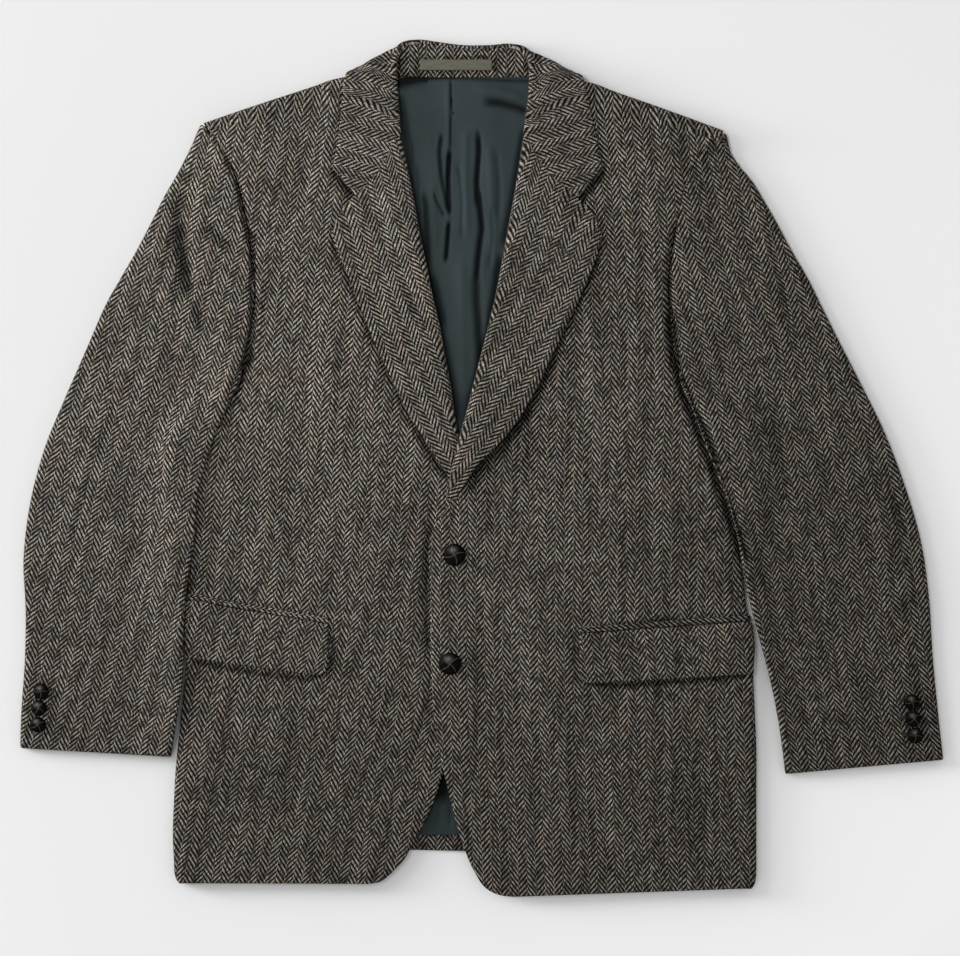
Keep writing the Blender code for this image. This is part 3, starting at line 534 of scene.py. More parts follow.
def tapeMaterial():
    s = tapeSettings
    material, start, shader = newMaterial("hanger tape")
    u, v = clothPlace(start)
    rib = abs((v / 0.55).fraction() - 0.5) * 2
    cloud = start.noise(start.placed(u * 0.08, v * 0.3), 1.0, 3.0)
    thread = start.noise(start.placed(u * 0.6, v * 4.0, 2.0), 1.0, 2.0)
    colour = (cloud * 0.6 + thread * 0.5).smoothstep(0.3, 0.8).mixed(s["deep"], s["face"])
    bump = start.node("Bump", {}, {"Strength": 0.35, "Distance": 0.0001, "Height": rib * 0.6 + thread * 0.4})
    dressed(start, shader, {"Base Color": colour, "Normal": bump},
            {"Roughness": 0.5, "Specular IOR Level": 0.25})
    return material


# the pale colour is both the wear on the seams and a painted highlight on each button
leatherSettings = {"dark": (0.0014, 0.0010, 0.0009), "wornAndShine": (0.105, 0.090, 0.083)}


def leatherMaterial():
    s = leatherSettings
    material, start, shader = newMaterial("leather")
    place = start.node("TexCoord", output="Object")
    wornAndShine = start.node("Attribute", {"attribute_name": "wornAndShine"}, output="Fac")
    cells = start.node("TexVoronoi", {"feature": "DISTANCE_TO_EDGE"}, {"Vector": place, "Scale": 1500.0})
    cloud = start.noise(place, 420.0, 3.0)
    # the pale colour follows worn seams and lobes, and a painted highlight on one side of each button
    colour = (wornAndShine * (0.55 + cloud * 0.9) + cloud.smoothstep(0.45, 0.8) * 0.012).mixed(s["dark"], s["wornAndShine"])
    height = cells.smoothstep(0.0, 0.25) * 0.5 + cloud * 0.6
    bump = start.node("Bump", {}, {"Strength": 0.4, "Distance": 0.00018, "Height": height})
    dressed(start, shader, {"Base Color": colour, "Normal": bump, "Roughness": 0.36 + cloud * 0.2},
            {"Specular IOR Level": 0.02})
    return material


threadSettings = {"dark": (0.004, 0.004, 0.0038), "light": (0.016, 0.016, 0.0145),
                  "faded": (0.052, 0.055, 0.047)}


def threadMaterial():
    s = threadSettings
    material, start, shader = newMaterial("buttonhole silk")
    place = start.node("TexCoord", output="Object")
    ply = start.node("TexWave", {"wave_type": "BANDS", "bands_direction": "DIAGONAL"},
                     {"Vector": place, "Scale": 420.0, "Distortion": 2.0}, 1)
    height = start.node("SeparateXYZ", {}, {0: place}).part("Y")  # the lower front hole is faded
    faded = height.smoothstep(-0.16, -0.13, 1.0, 0.0) * height.smoothstep(-0.196, -0.19) * 0.7
    colour = faded.mixed(ply.mixed(s["dark"], s["light"]), s["faded"])
    bump = start.node("Bump", {}, {"Strength": 0.6, "Distance": 0.0002, "Height": ply})
    dressed(start, shader, {"Base Color": colour, "Normal": bump}, {"Roughness": 0.6})
    return material


tweed, satin, tape, leather, silk = (tweedMaterial(), satinMaterial(), tapeMaterial(), leatherMaterial(),
                                     threadMaterial())
print("finishes made")


# side folds and side seams from the hem up: fold x y, seam x y
sideRight = table("""
    -263 -385.5  -203 -352
    -266 -381.5  -203 -348
    -267.6 -375  -203.6 -342
    -268 -366  -204 -335
    -269 -345  -205 -316
    -268 -310  -205 -285
    -266 -275  -204 -253
    -262 -235  -202 -217
    -257 -185  -199 -172
    -256 -130  -197 -122
    -258  -75  -197  -72
    -258  -25  -198  -25
    -254   15  -201   15
    -246   45  -203   48
""")
sideLeft = table("""
     267.5 -390.5   205 -362
     270.5 -386   205.3 -358
     271.7 -380   205.6 -352
     272 -372   206 -344
     272 -355   207 -327
     272 -335   207 -306
     272 -305   207 -279
     272 -262   207 -241
     270 -215   206 -198
     267 -160   204 -150
     261 -115   201 -108
     259  -65   199  -62
     259  -25   199  -25
     256   15   201   14
     247   45   203   48
""")
armholeRight = pairs("""
    -222 60, -211 76, -200 104, -194.5 137, -193 171, -197 208, -203 240, -209 266, -218 288, -230 308,
    -236 316
""")
armholeLeft = pairs("""
    223 60, 206 76, 197 104, 193 137, 191 171, 194 205, 200 236, 206 263, 216 286, 229 302, 236 308.5
""")
backArmholeRight = pairs("-206 78, -207 125, -209 170, -213 215, -219 252, -227 284, -234 305, -238 314")
backArmholeLeft = pairs("206 78, 207 125, 209 168, 213 212, 219 249, 228 280, 235 300, 238 307")
backCentre = [-356.4, -350, -344, -336, -316, -285, -253, -217, -172, -122, -72, -25, 20, 55, 92, 138,
              185, 232, 275, 309, 343, 352]
shoulderRight = pairs("-240 319, -112 363, -88 364")
shoulderLeft = pairs("241 312, 114 359, 88 361")
backNeckRight = pairs("-88 364, -60 363, 0 362")
backNeckLeft = pairs("88 361, 60 362, 0 362")
# the front edge from the hem's round corner to the break, then the roll line, then the neck
frontEdgeRight = pairs("""
    -92 -386, -78 -384.5, -67.5 -377, -57 -366.5, -47.5 -350, -28 -312, -15 -270, -3 -230, 8 -180,
    10 -125, 10 -70, 5 -25, -4 22, -11 66, -17 97, -22 125, -28 152, -34 182, -39 210, -44 235,
    -49 262, -54 287, -58 305, -68 332, -72 341
""")
frontEdgeLeft = pairs("""
    50 -398, 34 -396.5, 21 -390, 10.5 -374.5, 3 -358, -3 -341, -12 -306, -22 -262, -28 -215, -30 -160,
    -30 -110, -30 -62, -14 -28, -4 22, 8 66, 16 97, 23 125, 30 152, 35 180, 40 207, 45 233, 52 262,
    54 284, 56 301, 67 330, 71 339
""")
rollRowsRight, rollRowsLeft = range(11, 23), range(12, 24)


def outlineX(y, left):
    side, armhole = (sideLeft, armholeLeft) if left else (sideRight, armholeRight)
    points = [(row[1], abs(row[0])) for row in side] + [(y_, abs(x_)) for x_, y_ in armhole]
    return float(np.interp(y, *zip(*points)))


fronts = {
    "inset": 4.0, "rollRadius": 2.9, "standSeam": 1.2,
    "right": {"room": 3.6, "flat": (0.275, 0.80), "area": 0.164, "spacing": (2.8, 2.0), "flush": (205, 295),
              "lean": (11, 11, 11, 10, 6, 5, 5, 6, 8, 9, 8.5), "weftLean": (3, 3, 3, 5, 6, 6, 7, 8, 8, 8, 8),
              "creases": strokes("""
        2.1 -2.8 12  -123.7 219.9  -116.2 195.8  -108.8 182.7  -99.5 156.7  -90.2 133.5  -76.3 100.9 \
             -64.2 77.7  -50.2 47  -36.3 25.6  -22.3 5.1  -10.2 -10.7
        2.6 -2.4 8  -47.4 41.4  -35.3 18.1  -22.3 1.4  -9.3 -12.6
        2 -1.6 6  -109.7 355.7  -112.5 339  -112.5 324.1  -117.2 302.7  -122.8 276.7
        2.8 -4.4 4  -122.8 278.5  -112.5 265.5  -100.4 252.5
        1.9 -1.6 5  -102.3 247.8  -117.2 233  -122.8 216.2
        2.6 -2.7 14  -226.9 304.6  -220.4 289.7  -211.1 271.4  -205.5 255.3  -203 237  -199.6 220.9 \
             -195.3 205.1  -194.1 184.1  -195 167.9  -194.1 149.7  -194.9 126.9  -199.6 103.7  -208.8 83.2 \
             -217.9 64.6
        2.6 -2.6 4  -205 226  -198 219  -190.6 209.6
        2.4 -2.4 4  -193 162  -187 153  -183.6 147
        3.2 -3.4 8  -195 112  -203 92  -214 70
        3.6 -2.2 20  -193.4 99  -201.8 85.1  -210.2 68.4  -225.1 40.5  -237.2 3.3  -243.7 -29.3 \
             -248.3 -85.1  -251.1 -122.3
        3.4 -3 14  -27.9 -44.2  -33 -72.1  -33.9 -130.7  -32.6 -176
        2.6 -1.6 14  -33 -165  -32.1 -194.8  -28.8 -233.9  -24.2 -275.7
        2.6 -3.4 8  -255.8 -178.1  -239 -181.4  -217.6 -186  -180.4 -192.5  -144.2 -195.8  -129 -192
        2.2 -2.4 7  -133 -194  -122.8 -185.5  -120.4 -173.4  -123.2 -148.3
        1.7 -3.2 8  -239.9 -125.1  -198.1 -130.2  -160.9 -135.3  -124.6 -140.9
        16 -1.6 40  -151.6 35.8  -160.9 -47.9  -151.6 -122.3
        18 1.2 50  -77.2 -47.9  -86.5 -159.5  -79 -271.1
        14 -1.4 30  -216.7 -206  -207.4 -289.7  -214.8 -364.1
        8 -1.2 20  -118.1 -170.7  -103.2 -178.1  -90.2 -193
        9 -1 30  -179.5 249.7  -170.2 166  -151.6 91.6
    """), "restsOn": ["back_lining"]},
    "left": {"room": 3.6, "flat": (0.305, 0.815), "area": 0.179, "spacing": (2.8, 2.1), "shift": (3.0, 1.0),
             "flush": (135, 240),
             "lean": (-2, -2, -2, -1, 1, 1, 0, -2, -4, -6, -7),
             "weftLean": (6, 6, 6, 5, 4, 3, 2, 0, -2, -3, -5),
             "creases": strokes("""
        2.4 -3 12  130.2 214.4  126.5 201.3  119 179.5  109.7 159  100.4 137.2  91.1 118.6  80.9 98.1 \
             72.5 77.7  58.6 55.3  44.6 34.4  35.3 22.3  21.4 7.9  7.4 -7.9  0 -23.7
        2.9 -2.8 12  92.1 115.8  72.5 73  52.1 35.8  26 0.5  0 -26.5
        3 -4.2 12  66 62  53 43  38 22.5  23 7  6 -11
        14 -2 24  118.1 119.5  90.2 63.7  58.6 17.2  34.4 -29.3
        2 -1 6  116.2 352.9  119 327.8  127.4 293.4  130.2 279.5
        3 -5.6 3  131.6 277.4  120 262.7  107.4 248.2
        1.9 -1.5 5  108.8 249.7  127.4 228.3  130.2 212.5
        2.3 -2.8 16  198.6 235.9  193.4 208.8  191 181.8  191.2 154.8  194.4 127.4  197.6 93.5
        3.2 -5.6 14  190.6 150  193.6 125  196.6 96  206.4 66.5  216.6 39.5  228.4 8.8  242 -28.4  256 -71.1 \
             262 -92
        2.6 -3.4 8  266.9 -191.1  213.9 -197.2  178.6 -199.5  142.3 -202.3  122 -200.8  110 -196.5
        2.4 -1.7 7  114 -199  106 -192.9  104.6 -178.1  106 -155.8
        1.7 -3.2 8  112.5 -155.8  140.4 -147.4  179.5 -141.4  261.3 -141.8
        12 -2.2 20  21.4 -36.7  48.4 -43.2  86.5 -29.3
        16 -1.6 40  164.6 45.1  173.9 -47.9  164.6 -122.3
        18 1.2 50  71.6 -85.1  76.3 -196.7  71.6 -308.3
        14 -1.4 30  220.4 -215.3  211.1 -299  220.4 -373.4
        10 -1.2 30  127.4 -215.3  131.1 -289.7  125.6 -364.1
        9 -1 30  164.6 268.3  170.2 193.9  155.3 119.5
    """), "restsOn": ["back_lining", "front_right"]},
}


def frontRows(left):
    side, armhole, edge, rollRows, shoulder = (
        (sideLeft, armholeLeft, frontEdgeLeft, rollRowsLeft, shoulderLeft) if left else
        (sideRight, armholeRight, frontEdgeRight, rollRowsRight, shoulderRight))
    out = 1 if left else -1
    outer = [row[:2] for row in side] + armhole
    shares = (0, 0.12, 0.25, 0.38, 0.52, 0.66, 0.8, 0.91, 1)
    rows = []
    for number, (start, end) in enumerate(zip(outer, edge)):
        start, end = np.array(start, float), np.array(end, float)
        if number in rollRows:
            end[0] += out * (fronts["rollRadius"] + 2 * layers["seam"])
        elif number > rollRows[-1]:
            end[0] += out * fronts["standSeam"]
        inset = start - (out * fronts["inset"], 0)
        if number < len(side):
            head = turned(start, (out, 0), backLevel, frontMid(*inset, left), quarter[::-1])
        else:
            steps = along([start, inset], (0, 0.25, 0.5, 0.75, 1))
            head = [(x, y, frontMid(x, y, left)) for x, y in steps]
        flat = along([head[-1][:2], end], shares)[1:]
        rows.append(head + [(x, y, frontMid(x, y, left)) for x, y in flat])
    columns = [math.hypot(x - rows[-1][0][0], y - rows[-1][0][1]) for x, y, _ in rows[-1]]
    seam = along(shoulder, np.array(columns) / columns[-1])
    over = unit((seam[0] - seam[-1])[::-1] * (-out, out))
    for angle in quarter:
        rows.append([turned((x, y), over, backMid(x, y), frontMid(x, y, left), [angle])[0] for x, y in seam])
    return rows


backs = {
    "right": {"flat": (0.25, 0.725), "area": 0.148, "spacing": (7.0, 7.0)},
    "left": {"flat": (0.25, 0.725), "area": 0.149, "spacing": (7.0, 7.0)},
}


def backRows(left):
    side, armhole, shoulder, neckSeam = (
        (sideLeft, backArmholeLeft, shoulderLeft, backNeckLeft) if left else
        (sideRight, backArmholeRight, shoulderRight, backNeckRight))
    out = 1 if left else -1
    atNeck = 0.65  # the share of the top section that the shoulder takes
    shares = np.array((0, 0.16, 0.31, 0.42, 0.53, atNeck, 0.82, 1))
    centre = out * layers["seam"] / 2
    outer = [row[2:] for row in side] + armhole
    centres = np.interp(np.linspace(0, 1, len(outer)), np.linspace(0, 1, len(backCentre)), backCentre)
    rows = []
    for (x, y), centreY in zip(outer, centres):
        line = along([(x - out * layers["seam"], y), (centre, centreY)], shares)
        rows.append([(x_, y_, backMid(x_, y_)) for x_, y_ in line])
    onShoulder = along(shoulder, shares[shares <= atNeck] / atNeck)
    onNeck = along(neckSeam, (shares[shares > atNeck] - atNeck) / (1 - atNeck))
    onNeck[-1][0] = centre
    over = unit((out * 0.33, 0.94))
    for angle in (-90, -67, -45, -24, -6):
        section = [turned((x, y), over, backMid(x, y), frontMid(x, y, left), [angle])[0]
                   for x, y in onShoulder]
        section += [(x, y - 5 * (1 - math.cos(math.radians(angle))), backMid(x, y)) for x, y in onNeck]
        rows.append(section)
    return rows


sides = {
    "right": {"flat": (0.075, 0.435), "area": 0.0262, "spacing": (5.0, 5.0), "lean": (2,)},
    "left": {"flat": (0.075, 0.44), "area": 0.0275, "spacing": (5.0, 5.0), "lean": (-2,)},
}


def sideRows(left):
    out = 1 if left else -1
    rows = []
    for foldX, foldY, seamX, seamY in sideLeft if left else sideRight:
        high = frontMid(foldX - out * fronts["inset"], foldY, left)
        turn = turned((foldX, foldY), (out, 0), backLevel, high, [-q for q in quarter[::-1]])
        flat = along([turn[-1][:2], (seamX, seamY)], (0, 0.5, 1))[1:]
        rows.append(turn + [(x, y, backLevel) for x, y in flat])
    return rows


linings = {"room": 1.1, "top": 364.0, "hem": -341.0, "tuck": 0.6,
           "flat": (0.39, 0.71), "area": 0.24,
           "spacing": ((3.6, 9, 12, 12, 12, 3.4, 3.0, 3.0, 2.8, 2.8, 2.5, 2.5, 2.5, 2.0, 1.5), 1.25),
           "creases": strokes("""
        50 2.6 30  -0.9 365  0 249.7  1.9 128.8  0.9 45.1
        2.2 1 12  -14.4 364.1  -14 324.1  -14.1 277.6  -14 233  -15.3 192
        0.7 -2.4 5  -11.2 364.1  -11.2 346.4  -10.8 337.1
        0.9 -2.4 5  -11 346.4  -10.6 329.7
        1.2 -2.6 2.5  -11.2 331.1  -7 329.7
        0.7 -2.4 6  -11.3 331.5  -11.5 296.2
        1.8 -6.4 10  -12.3 299  -14 270.2  -13 245.1  -12.1 233.9
        1.6 -6 8  -13 232  -14.4 212.5  -16.3 190.2
        1.7 -3 9  -19.5 313.9  -21.8 294.3  -20 273  -16.3 254.4  -13 236.7
        0.9 -3.2 5  -27.9 258.1  -24.2 247.8  -16.7 233.9
        1 -1.2 4  -24.2 259.9  -20.5 249.7  -14.9 240.4
        2.2 -3.2 14  -37.7 260.9  -34.9 245.1  -33.9 221.8  -32.6 184.6
        4.5 -2.8 12  -30.7 182.7  -25.1 158.6  -17.7 128.8
        4 1.2 12  -41.9 264.6  -40 235.8  -39.1 212.5
        3 1 12  -28.8 272  -27 235.8  -25.1 203.2
        4.5 1.8 14  6.5 354.8  29.8 352  60.5 343.6
        3.6 -3.9 12  17 342  35 340  50 336  66 330
        2.2 -4.6 16  14 318.5  14.9 296.2  12.9 268.3  13.6 240
        2.4 -4.2 12  14.2 262  17.7 223.7  14.4 198.6  12.1 170.7
        3.8 -3.4 16  13 184.6  13 156.7  15.8 119.5  17.7 89.7  14 59.1
        5 1.3 20  -1.9 203.2  -0.9 128.8  0 49.8
        4 1.2 14  24.2 305.5  27 249.7  27 193.9
        3.5 1.1 14  2.8 318.5  1.9 259  3.7 217.2
        2 -1.2 8  -3.7 286.9  0 249.7  -0.9 212.5
        1 -0.9 3  -9.3 306.4  -5.6 299.9
        1 -0.9 3  -10.2 297.1  -7 290.6
        1.2 -0.9 4  -8.8 286  -1.9 273.9
        1.3 -1 4  -29.8 309.2  -25.1 302.7
        1.4 -1.3 5  -52.1 307.4  -48.4 299.9  -46.5 292.5
        2.2 -1.2 8  -44.6 286.9  -42.8 259  -39.1 235.8
        2.4 -1.2 8  31.6 296.2  34.4 259  32.6 231.1
        2 -0.9 8  27 245.1  27.9 212.5  24.2 184.6
        3.2 -3 10  -59.5 350.1  -53.9 314.8  -45.6 259  -30.7 176.2  -16.7 110.2  -3.7 40.5
        3.4 -2.6 14  58.6 319.5  46.5 245.1  37.2 203.2
        3.4 -3.2 14  36.3 203.2  25.1 128.8  1.9 35.8
        4.6 -6.5 3  -70 357.5  -57 360  -46 362.5  -32 365
        1.7 -3.6 6  -42 362  -20 363.6  -4 363.6
        1.6 -2.8 8  -12 363.6  20 362.4  44 361  68 360.5
        1.2 -1.2 3  -40 355.7  -37.2 360.4
        11 -4.6 16  -23 -262  -21 -288  -22.5 -316
        3.6 -3 8  -24 -290  -31 -308  -40 -330
        1.4 -1.6 8  -21.4 -308.3  -23.2 -326.9  -27 -338.1
        1.6 -1.4 8  -13 -310.2  -11.2 -322.2  -12.1 -336.2
    """)}


def liningRows():
    rows = []
    for y in (linings["hem"], -280, -210, -140, -70, 0, 70, 140, 200, 260, 312, 322, 333, 343, 358,
              linings["top"]):
        reach = float(np.interp(y, (170, 230, linings["top"]), (190, 108, 76)))
        tucked = linings["tuck"] * ramp(y, 352, linings["top"])  # its neck edge lies on the stand's seam
        rows.append([(x, y, liningMid(x, y) - tucked) for x in np.linspace(-reach, reach, 8)])
    return rows


for left in (False, True):
    hand = "left" if left else "right"
    rows = frontRows(left)
    sewn(f"frontCloth_{hand}", rows, [[frontWall(x, y) for x, y, _ in row] for row in rows],
         fronts[hand], tweed, f"front_{hand}")
    rows = backRows(left)
    sewn(f"backCloth_{hand}", rows, [[backWall(x, y) for x, y, _ in row] for row in rows],
         backs[hand], tweed, f"back_{hand}")
    sewn(f"sideCloth_{hand}", sideRows(left), layers["back"], sides[hand], tweed, f"side_{hand}")
sewn("backLining", liningRows(), layers["lining"], linings, satin, "back_lining")
print("body made")


# from the break up: roll line x y, outer edge x y
lapelRight = table("""
      2 -12    -5 -19
     -4  22   -22   5
     -9  50   -37  29
    -13  78   -50  50
    -18 105   -64  79
    -23 133   -76 104
    -29 158   -88 131
    -35 188   -98 156
    -42 222  -108 182
    -48 255  -116 201
""")
lapelLeft = table("""
    -14 -29    -6 -28
     -9  -1     7  -6
     -3  25    22  12
      4  50    38  28
     11  78    54  50
     18 105    67  72
     25 133    80  99
     31 158    92 124
     37 188   103 147
     43 222   114 171
     49 254   123 194
""")
gorgeRight = pairs("-59 307.2, -69.3 290.8, -83.3 268.3, -100 253.4, -117 236, -122 220")
gorgeLeft = pairs("57 304.6, 68.5 288.2, 86.3 266.3, 107 251.4, 126 231, 129 214")
lapels = {
    "breakRadius": 2.3, "breakY": (0, 60), "settles": (4, 34),
    "right": {"flat": (0.117, 0.325), "area": 0.019, "spacing": (3.0, 2.4), "held": "folded",
              "joined": ("top",), "lean": (-29, -27, -25, -24, -22, -20, -19, -18),
              "restsOn": ["front_right"]},
    "left": {"flat": (0.126, 0.342), "area": 0.021, "spacing": (3.0, 2.4), "held": "folded",
             "joined": ("top",), "shift": (4.0, 0.0), "lean": (38, 34, 31, 29, 27, 25, 23, 21),
             "restsOn": ["front_left"]},
}


def lapelRows(left):
    out = 1 if left else -1
    rows = []
    lines = [[row[:2], row[2:]] for row in (lapelLeft if left else lapelRight)]
    for line in lines + [gorgeLeft if left else gorgeRight]:
        x, y = line[0]
        grown = ramp(y, *lapels["breakY"])
        radius = lapels["breakRadius"] + (fronts["rollRadius"] - lapels["breakRadius"]) * grown
        level = frontMid(x + out * radius, y, left)
        section = turned(line[0], (-out, 0), level, level + 2 * radius, roll)
        lift = 2 * radius - (layers["front"] + layers["lapel"]) / 2 - layers["ease"]
        for x_, y_ in along([section[-1][:2], *line[1:]], (0, 0.14, 0.3, 0.52, 0.76, 1))[1:]:
            settled = ramp(math.dist((x_, y_), line[0]), *lapels["settles"])
            section.append((x_, y_, frontMid(x_, y_, left) + (layers["front"] + layers["lapel"]) / 2
                            + layers["ease"] + lift * (1 - settled)))
        rows.append(section)
    return rows


for left in (False, True):
    hand = "left" if left else "right"
    sewn(f"lapelCloth_{hand}", lapelRows(left), layers["lapel"], lapels[hand], tweed,
         f"lapel_{hand}")
print("lapels made")


# inner x y, outer x y, under x y and the rise, from cuff to shoulder
sleeveRight = table("""
    -273 -268  -411 -260  -273 -268  0
    -267 -236  -410 -226  -267 -236  1
    -261 -197  -407 -183  -261 -197  1
    -260 -150  -406 -132  -260 -150  1
    -257 -108  -408  -85  -257 -108  1
    -251  -71  -403  -39  -251  -71  1
    -246  -20  -389   17  -246  -20  1
    -233   27  -370   64  -233   27  1
    -217.5 62  -349  112  -217.5 62  1
    -207   86  -333  149  -207   86  1
    -200  104  -318  176  -212  112  0.1
    -194.5 137  -302  204  -208  137  0
    -193  171  -288  231  -210  171  0
    -197  208  -277  253  -214  212  0
    -203  240  -267  270  -219  243  0
    -209  266  -259  285  -223  269  0
    -218  288  -252  299  -231  291  0
    -230  308  -246.5  312  -239  308  0
    -236  316  -243  319.5  -240  316  0
""")
sleeveLeft = table("""
     301 -284   446 -271   301 -284  0
     294 -234   441 -226   294 -234  1
     284 -187   436 -173   284 -187  1
     273 -147   433 -124   273 -147  1
     263 -106   426  -72   263 -106  1
     254  -55   407   -7   254  -55  1
     244  -20   391   34   244  -20  1
     227   20   373   71   227   20  1
     212.5 60   350  116   212.5 60  1
     202   86   333  150   202   86  1
     197  104   319  178   212  112  0.1
     193  137   304  204   208  137  0
     191  171   290  230   210  171  0
     194  205   279  249   214  209  0
     200  236   268  267   219  240  0
     206  263   255.5  282   223  266  0
     216  286   247.5  295   231  288  0
     229  302   245.5  304   239  302  0
     236  308.5   243.5  311.5   240  308.5  0
""")
sleeveLean = {  # how far the stripes and the weft lean, from cuff to shoulder, in degrees
    "right": ((15, 15, 14, 14, 14, 15, 16, 16, 16, 15, 14),
              (11, 11, 12, 12, 12, 13, 14, 16, 17, 17, 17)),
    "left": ((-11, -10, -8, -8, -10, -12, -13, -15, -15, -12, -6),
             (0, -1, -3, -5, -7, -7, -7, -9, -9, -8, -7)),
}
sleeves = {
    "strip": {"right": 7.0, "left": 14.0, "top": 6.0},  # the under sleeve that shows on top
    "clear": 5.0, "slope": 40.0, "shares": (0.35, 0.6),  # where it leaves the body and comes down
    "armholeGap": (0.3, 1.1), "gapY": (100, 220), "cap": (0.8, 3.0), "headWidth": 4.5,
    "headRoll": {"right": ((1, 1.7), (0.5, 1.1), (0, 0.1)), "left": ((1, 0.6), (0.5, 0.4), (0, 0))},
    "underarm": (20, 12),
    "topRight": {"room": 3.2, "joined": ("first",), "flat": (0.152, 0.62), "area": 0.0745,
                 "spacing": (3.4, 2.0), "anchor": "first",
                 "flush": (205, 295),
                 "lean": sleeveLean["right"][0],
                 "weftLean": sleeveLean["right"][1], "creases": strokes("""
        5.6 -5.4 12  -262.5 232  -264 215  -263.7 205.1  -258.5 182.7  -254.4 158
        5.4 -2.4 8  -258 258  -264 246  -269 232
        5 -2 12  -254.8 270.2  -262.3 238.5  -260.4 203.2  -253.9 170.7
        4.2 -3 8  -249 158  -247 150  -244.6 136.2  -241 124
        6 2.4 16  -277.1 245.1  -282.7 212.5  -281.8 180  -274.4 145.5
        5 1.8 14  -241.8 286.9  -241.8 254.4  -247.4 233
        4.8 -2.9 6  -244 221  -232 219.4  -222 211  -213 203
        5 1.4 10  -239 236.7  -224.1 236.7  -211.1 225.5
        3.8 -2.2 6  -253.9 277.6  -249.2 261.8
        2.7 -3.2 14  -228.3 304.6  -221.8 289.7  -212.5 271.4  -206.9 255.3  -204.4 237  -201 220.9 \
             -196.7 205.1  -195.5 184.1  -196.4 167.9  -195.5 149.7  -196.3 126.9  -201 103.7  -210.2 83.2 \
             -219.3 64.6
        11 -2.2 30  -248.3 -10.7  -291.1 -29.3  -337.6 -47.9
        10 -1.8 30  -253.9 -85.1  -291.1 -81.4  -346.9 -113
        12 1.8 30  -246.5 17.2  -300.4 -1.4  -365.5 -10.7
        9 -1.6 20  -281.8 100.9  -309.7 77.7  -337.6 63.7
        6 -1.4 20  -300.4 -122.3  -328.3 -159.5  -337.6 -206
    """)},
    "topLeft": {"room": 3.2, "joined": ("first",), "flat": (0.16, 0.635), "area": 0.0795,
                "spacing": (3.4, 2.0), "anchor": "first",
                "flush": (135, 240),
                "lean": sleeveLean["left"][0],
                "weftLean": sleeveLean["left"][1], "creases": strokes("""
        7 -2.2 20  258.5 259  265.1 221.8  279 180
        7 1.6 20  273.4 238.5  282.7 193.9  299.5 147.4
        2.3 -3 16  200 235.9  194.8 208.8  192.4 181.8  193 154.8  196.5 127.4  200 93.5
        2.8 -5 14  192.6 150  195.8 125  199.4 96  210.1 66.5  220.3 39.5  232 8.8  245.7 -28.4  259.9 -71.1 \
             266 -92
        3.4 -1.3 20  239 202.3  250.2 166  263.2 130.7
        3.4 1 20  245.5 203.2  256.7 166  269.7 132.5
        3.6 -1.3 20  310.6 124.2  317.1 108.3  324.6 89.7
        10 -2.2 25  220.4 26.5  262.3 -1.4  313.4 -20
        11 -2.2 30  253 -47.9  304.1 -71.1  359.9 -85.1
        12 1.8 30  239 -10.7  294.8 -43.2  369.2 -52.5
        9 -1.6 20  313.4 119.5  285.5 91.6  266.9 63.7
        13 -2.3 16  408 16  397.1 -6  384 -31.2
        10 -2.2 16  421 -22  412 -48  402 -66
        12 -2.3 14  428 -118  414 -142.8  404 -176
        10 -2.2 14  436 -168  428 -200  424 -238
        7 1.6 14  420.4 -99  401.8 -122.3  380.4 -150.2
    """)},
    "underRight": {"joined": ("first",), "wrapped": True, "flat": (0.17, 0.63), "area": 0.0815,
                   "spacing": (5.5, 4.0), "anchor": "first", "lean": sleeveLean["right"][0],
                   "weftLean": sleeveLean["right"][1]},
    "underLeft": {"joined": ("first",), "wrapped": True, "flat": (0.185, 0.65), "area": 0.090,
                  "spacing": (5.5, 4.0), "anchor": "first",
                  "lean": sleeveLean["left"][0],
                  "weftLean": sleeveLean["left"][1]},
}


def insideBody(place, left):
    return outlineX(place[1], left) - abs(place[0])


def sleeveLevels(x, y, rise, left):
    inside = insideBody((x, y), left)
    cover = rise * float(ramp(inside, -sleeves["slope"], -sleeves["clear"]))
    low = sleeveLevel + (sleeveOnBody - sleeveLevel) * cover
    hollow = layers["hollow"] + (layers["pressed"] - layers["hollow"]) * cover
    return low, low + layers["sleeve"] + hollow


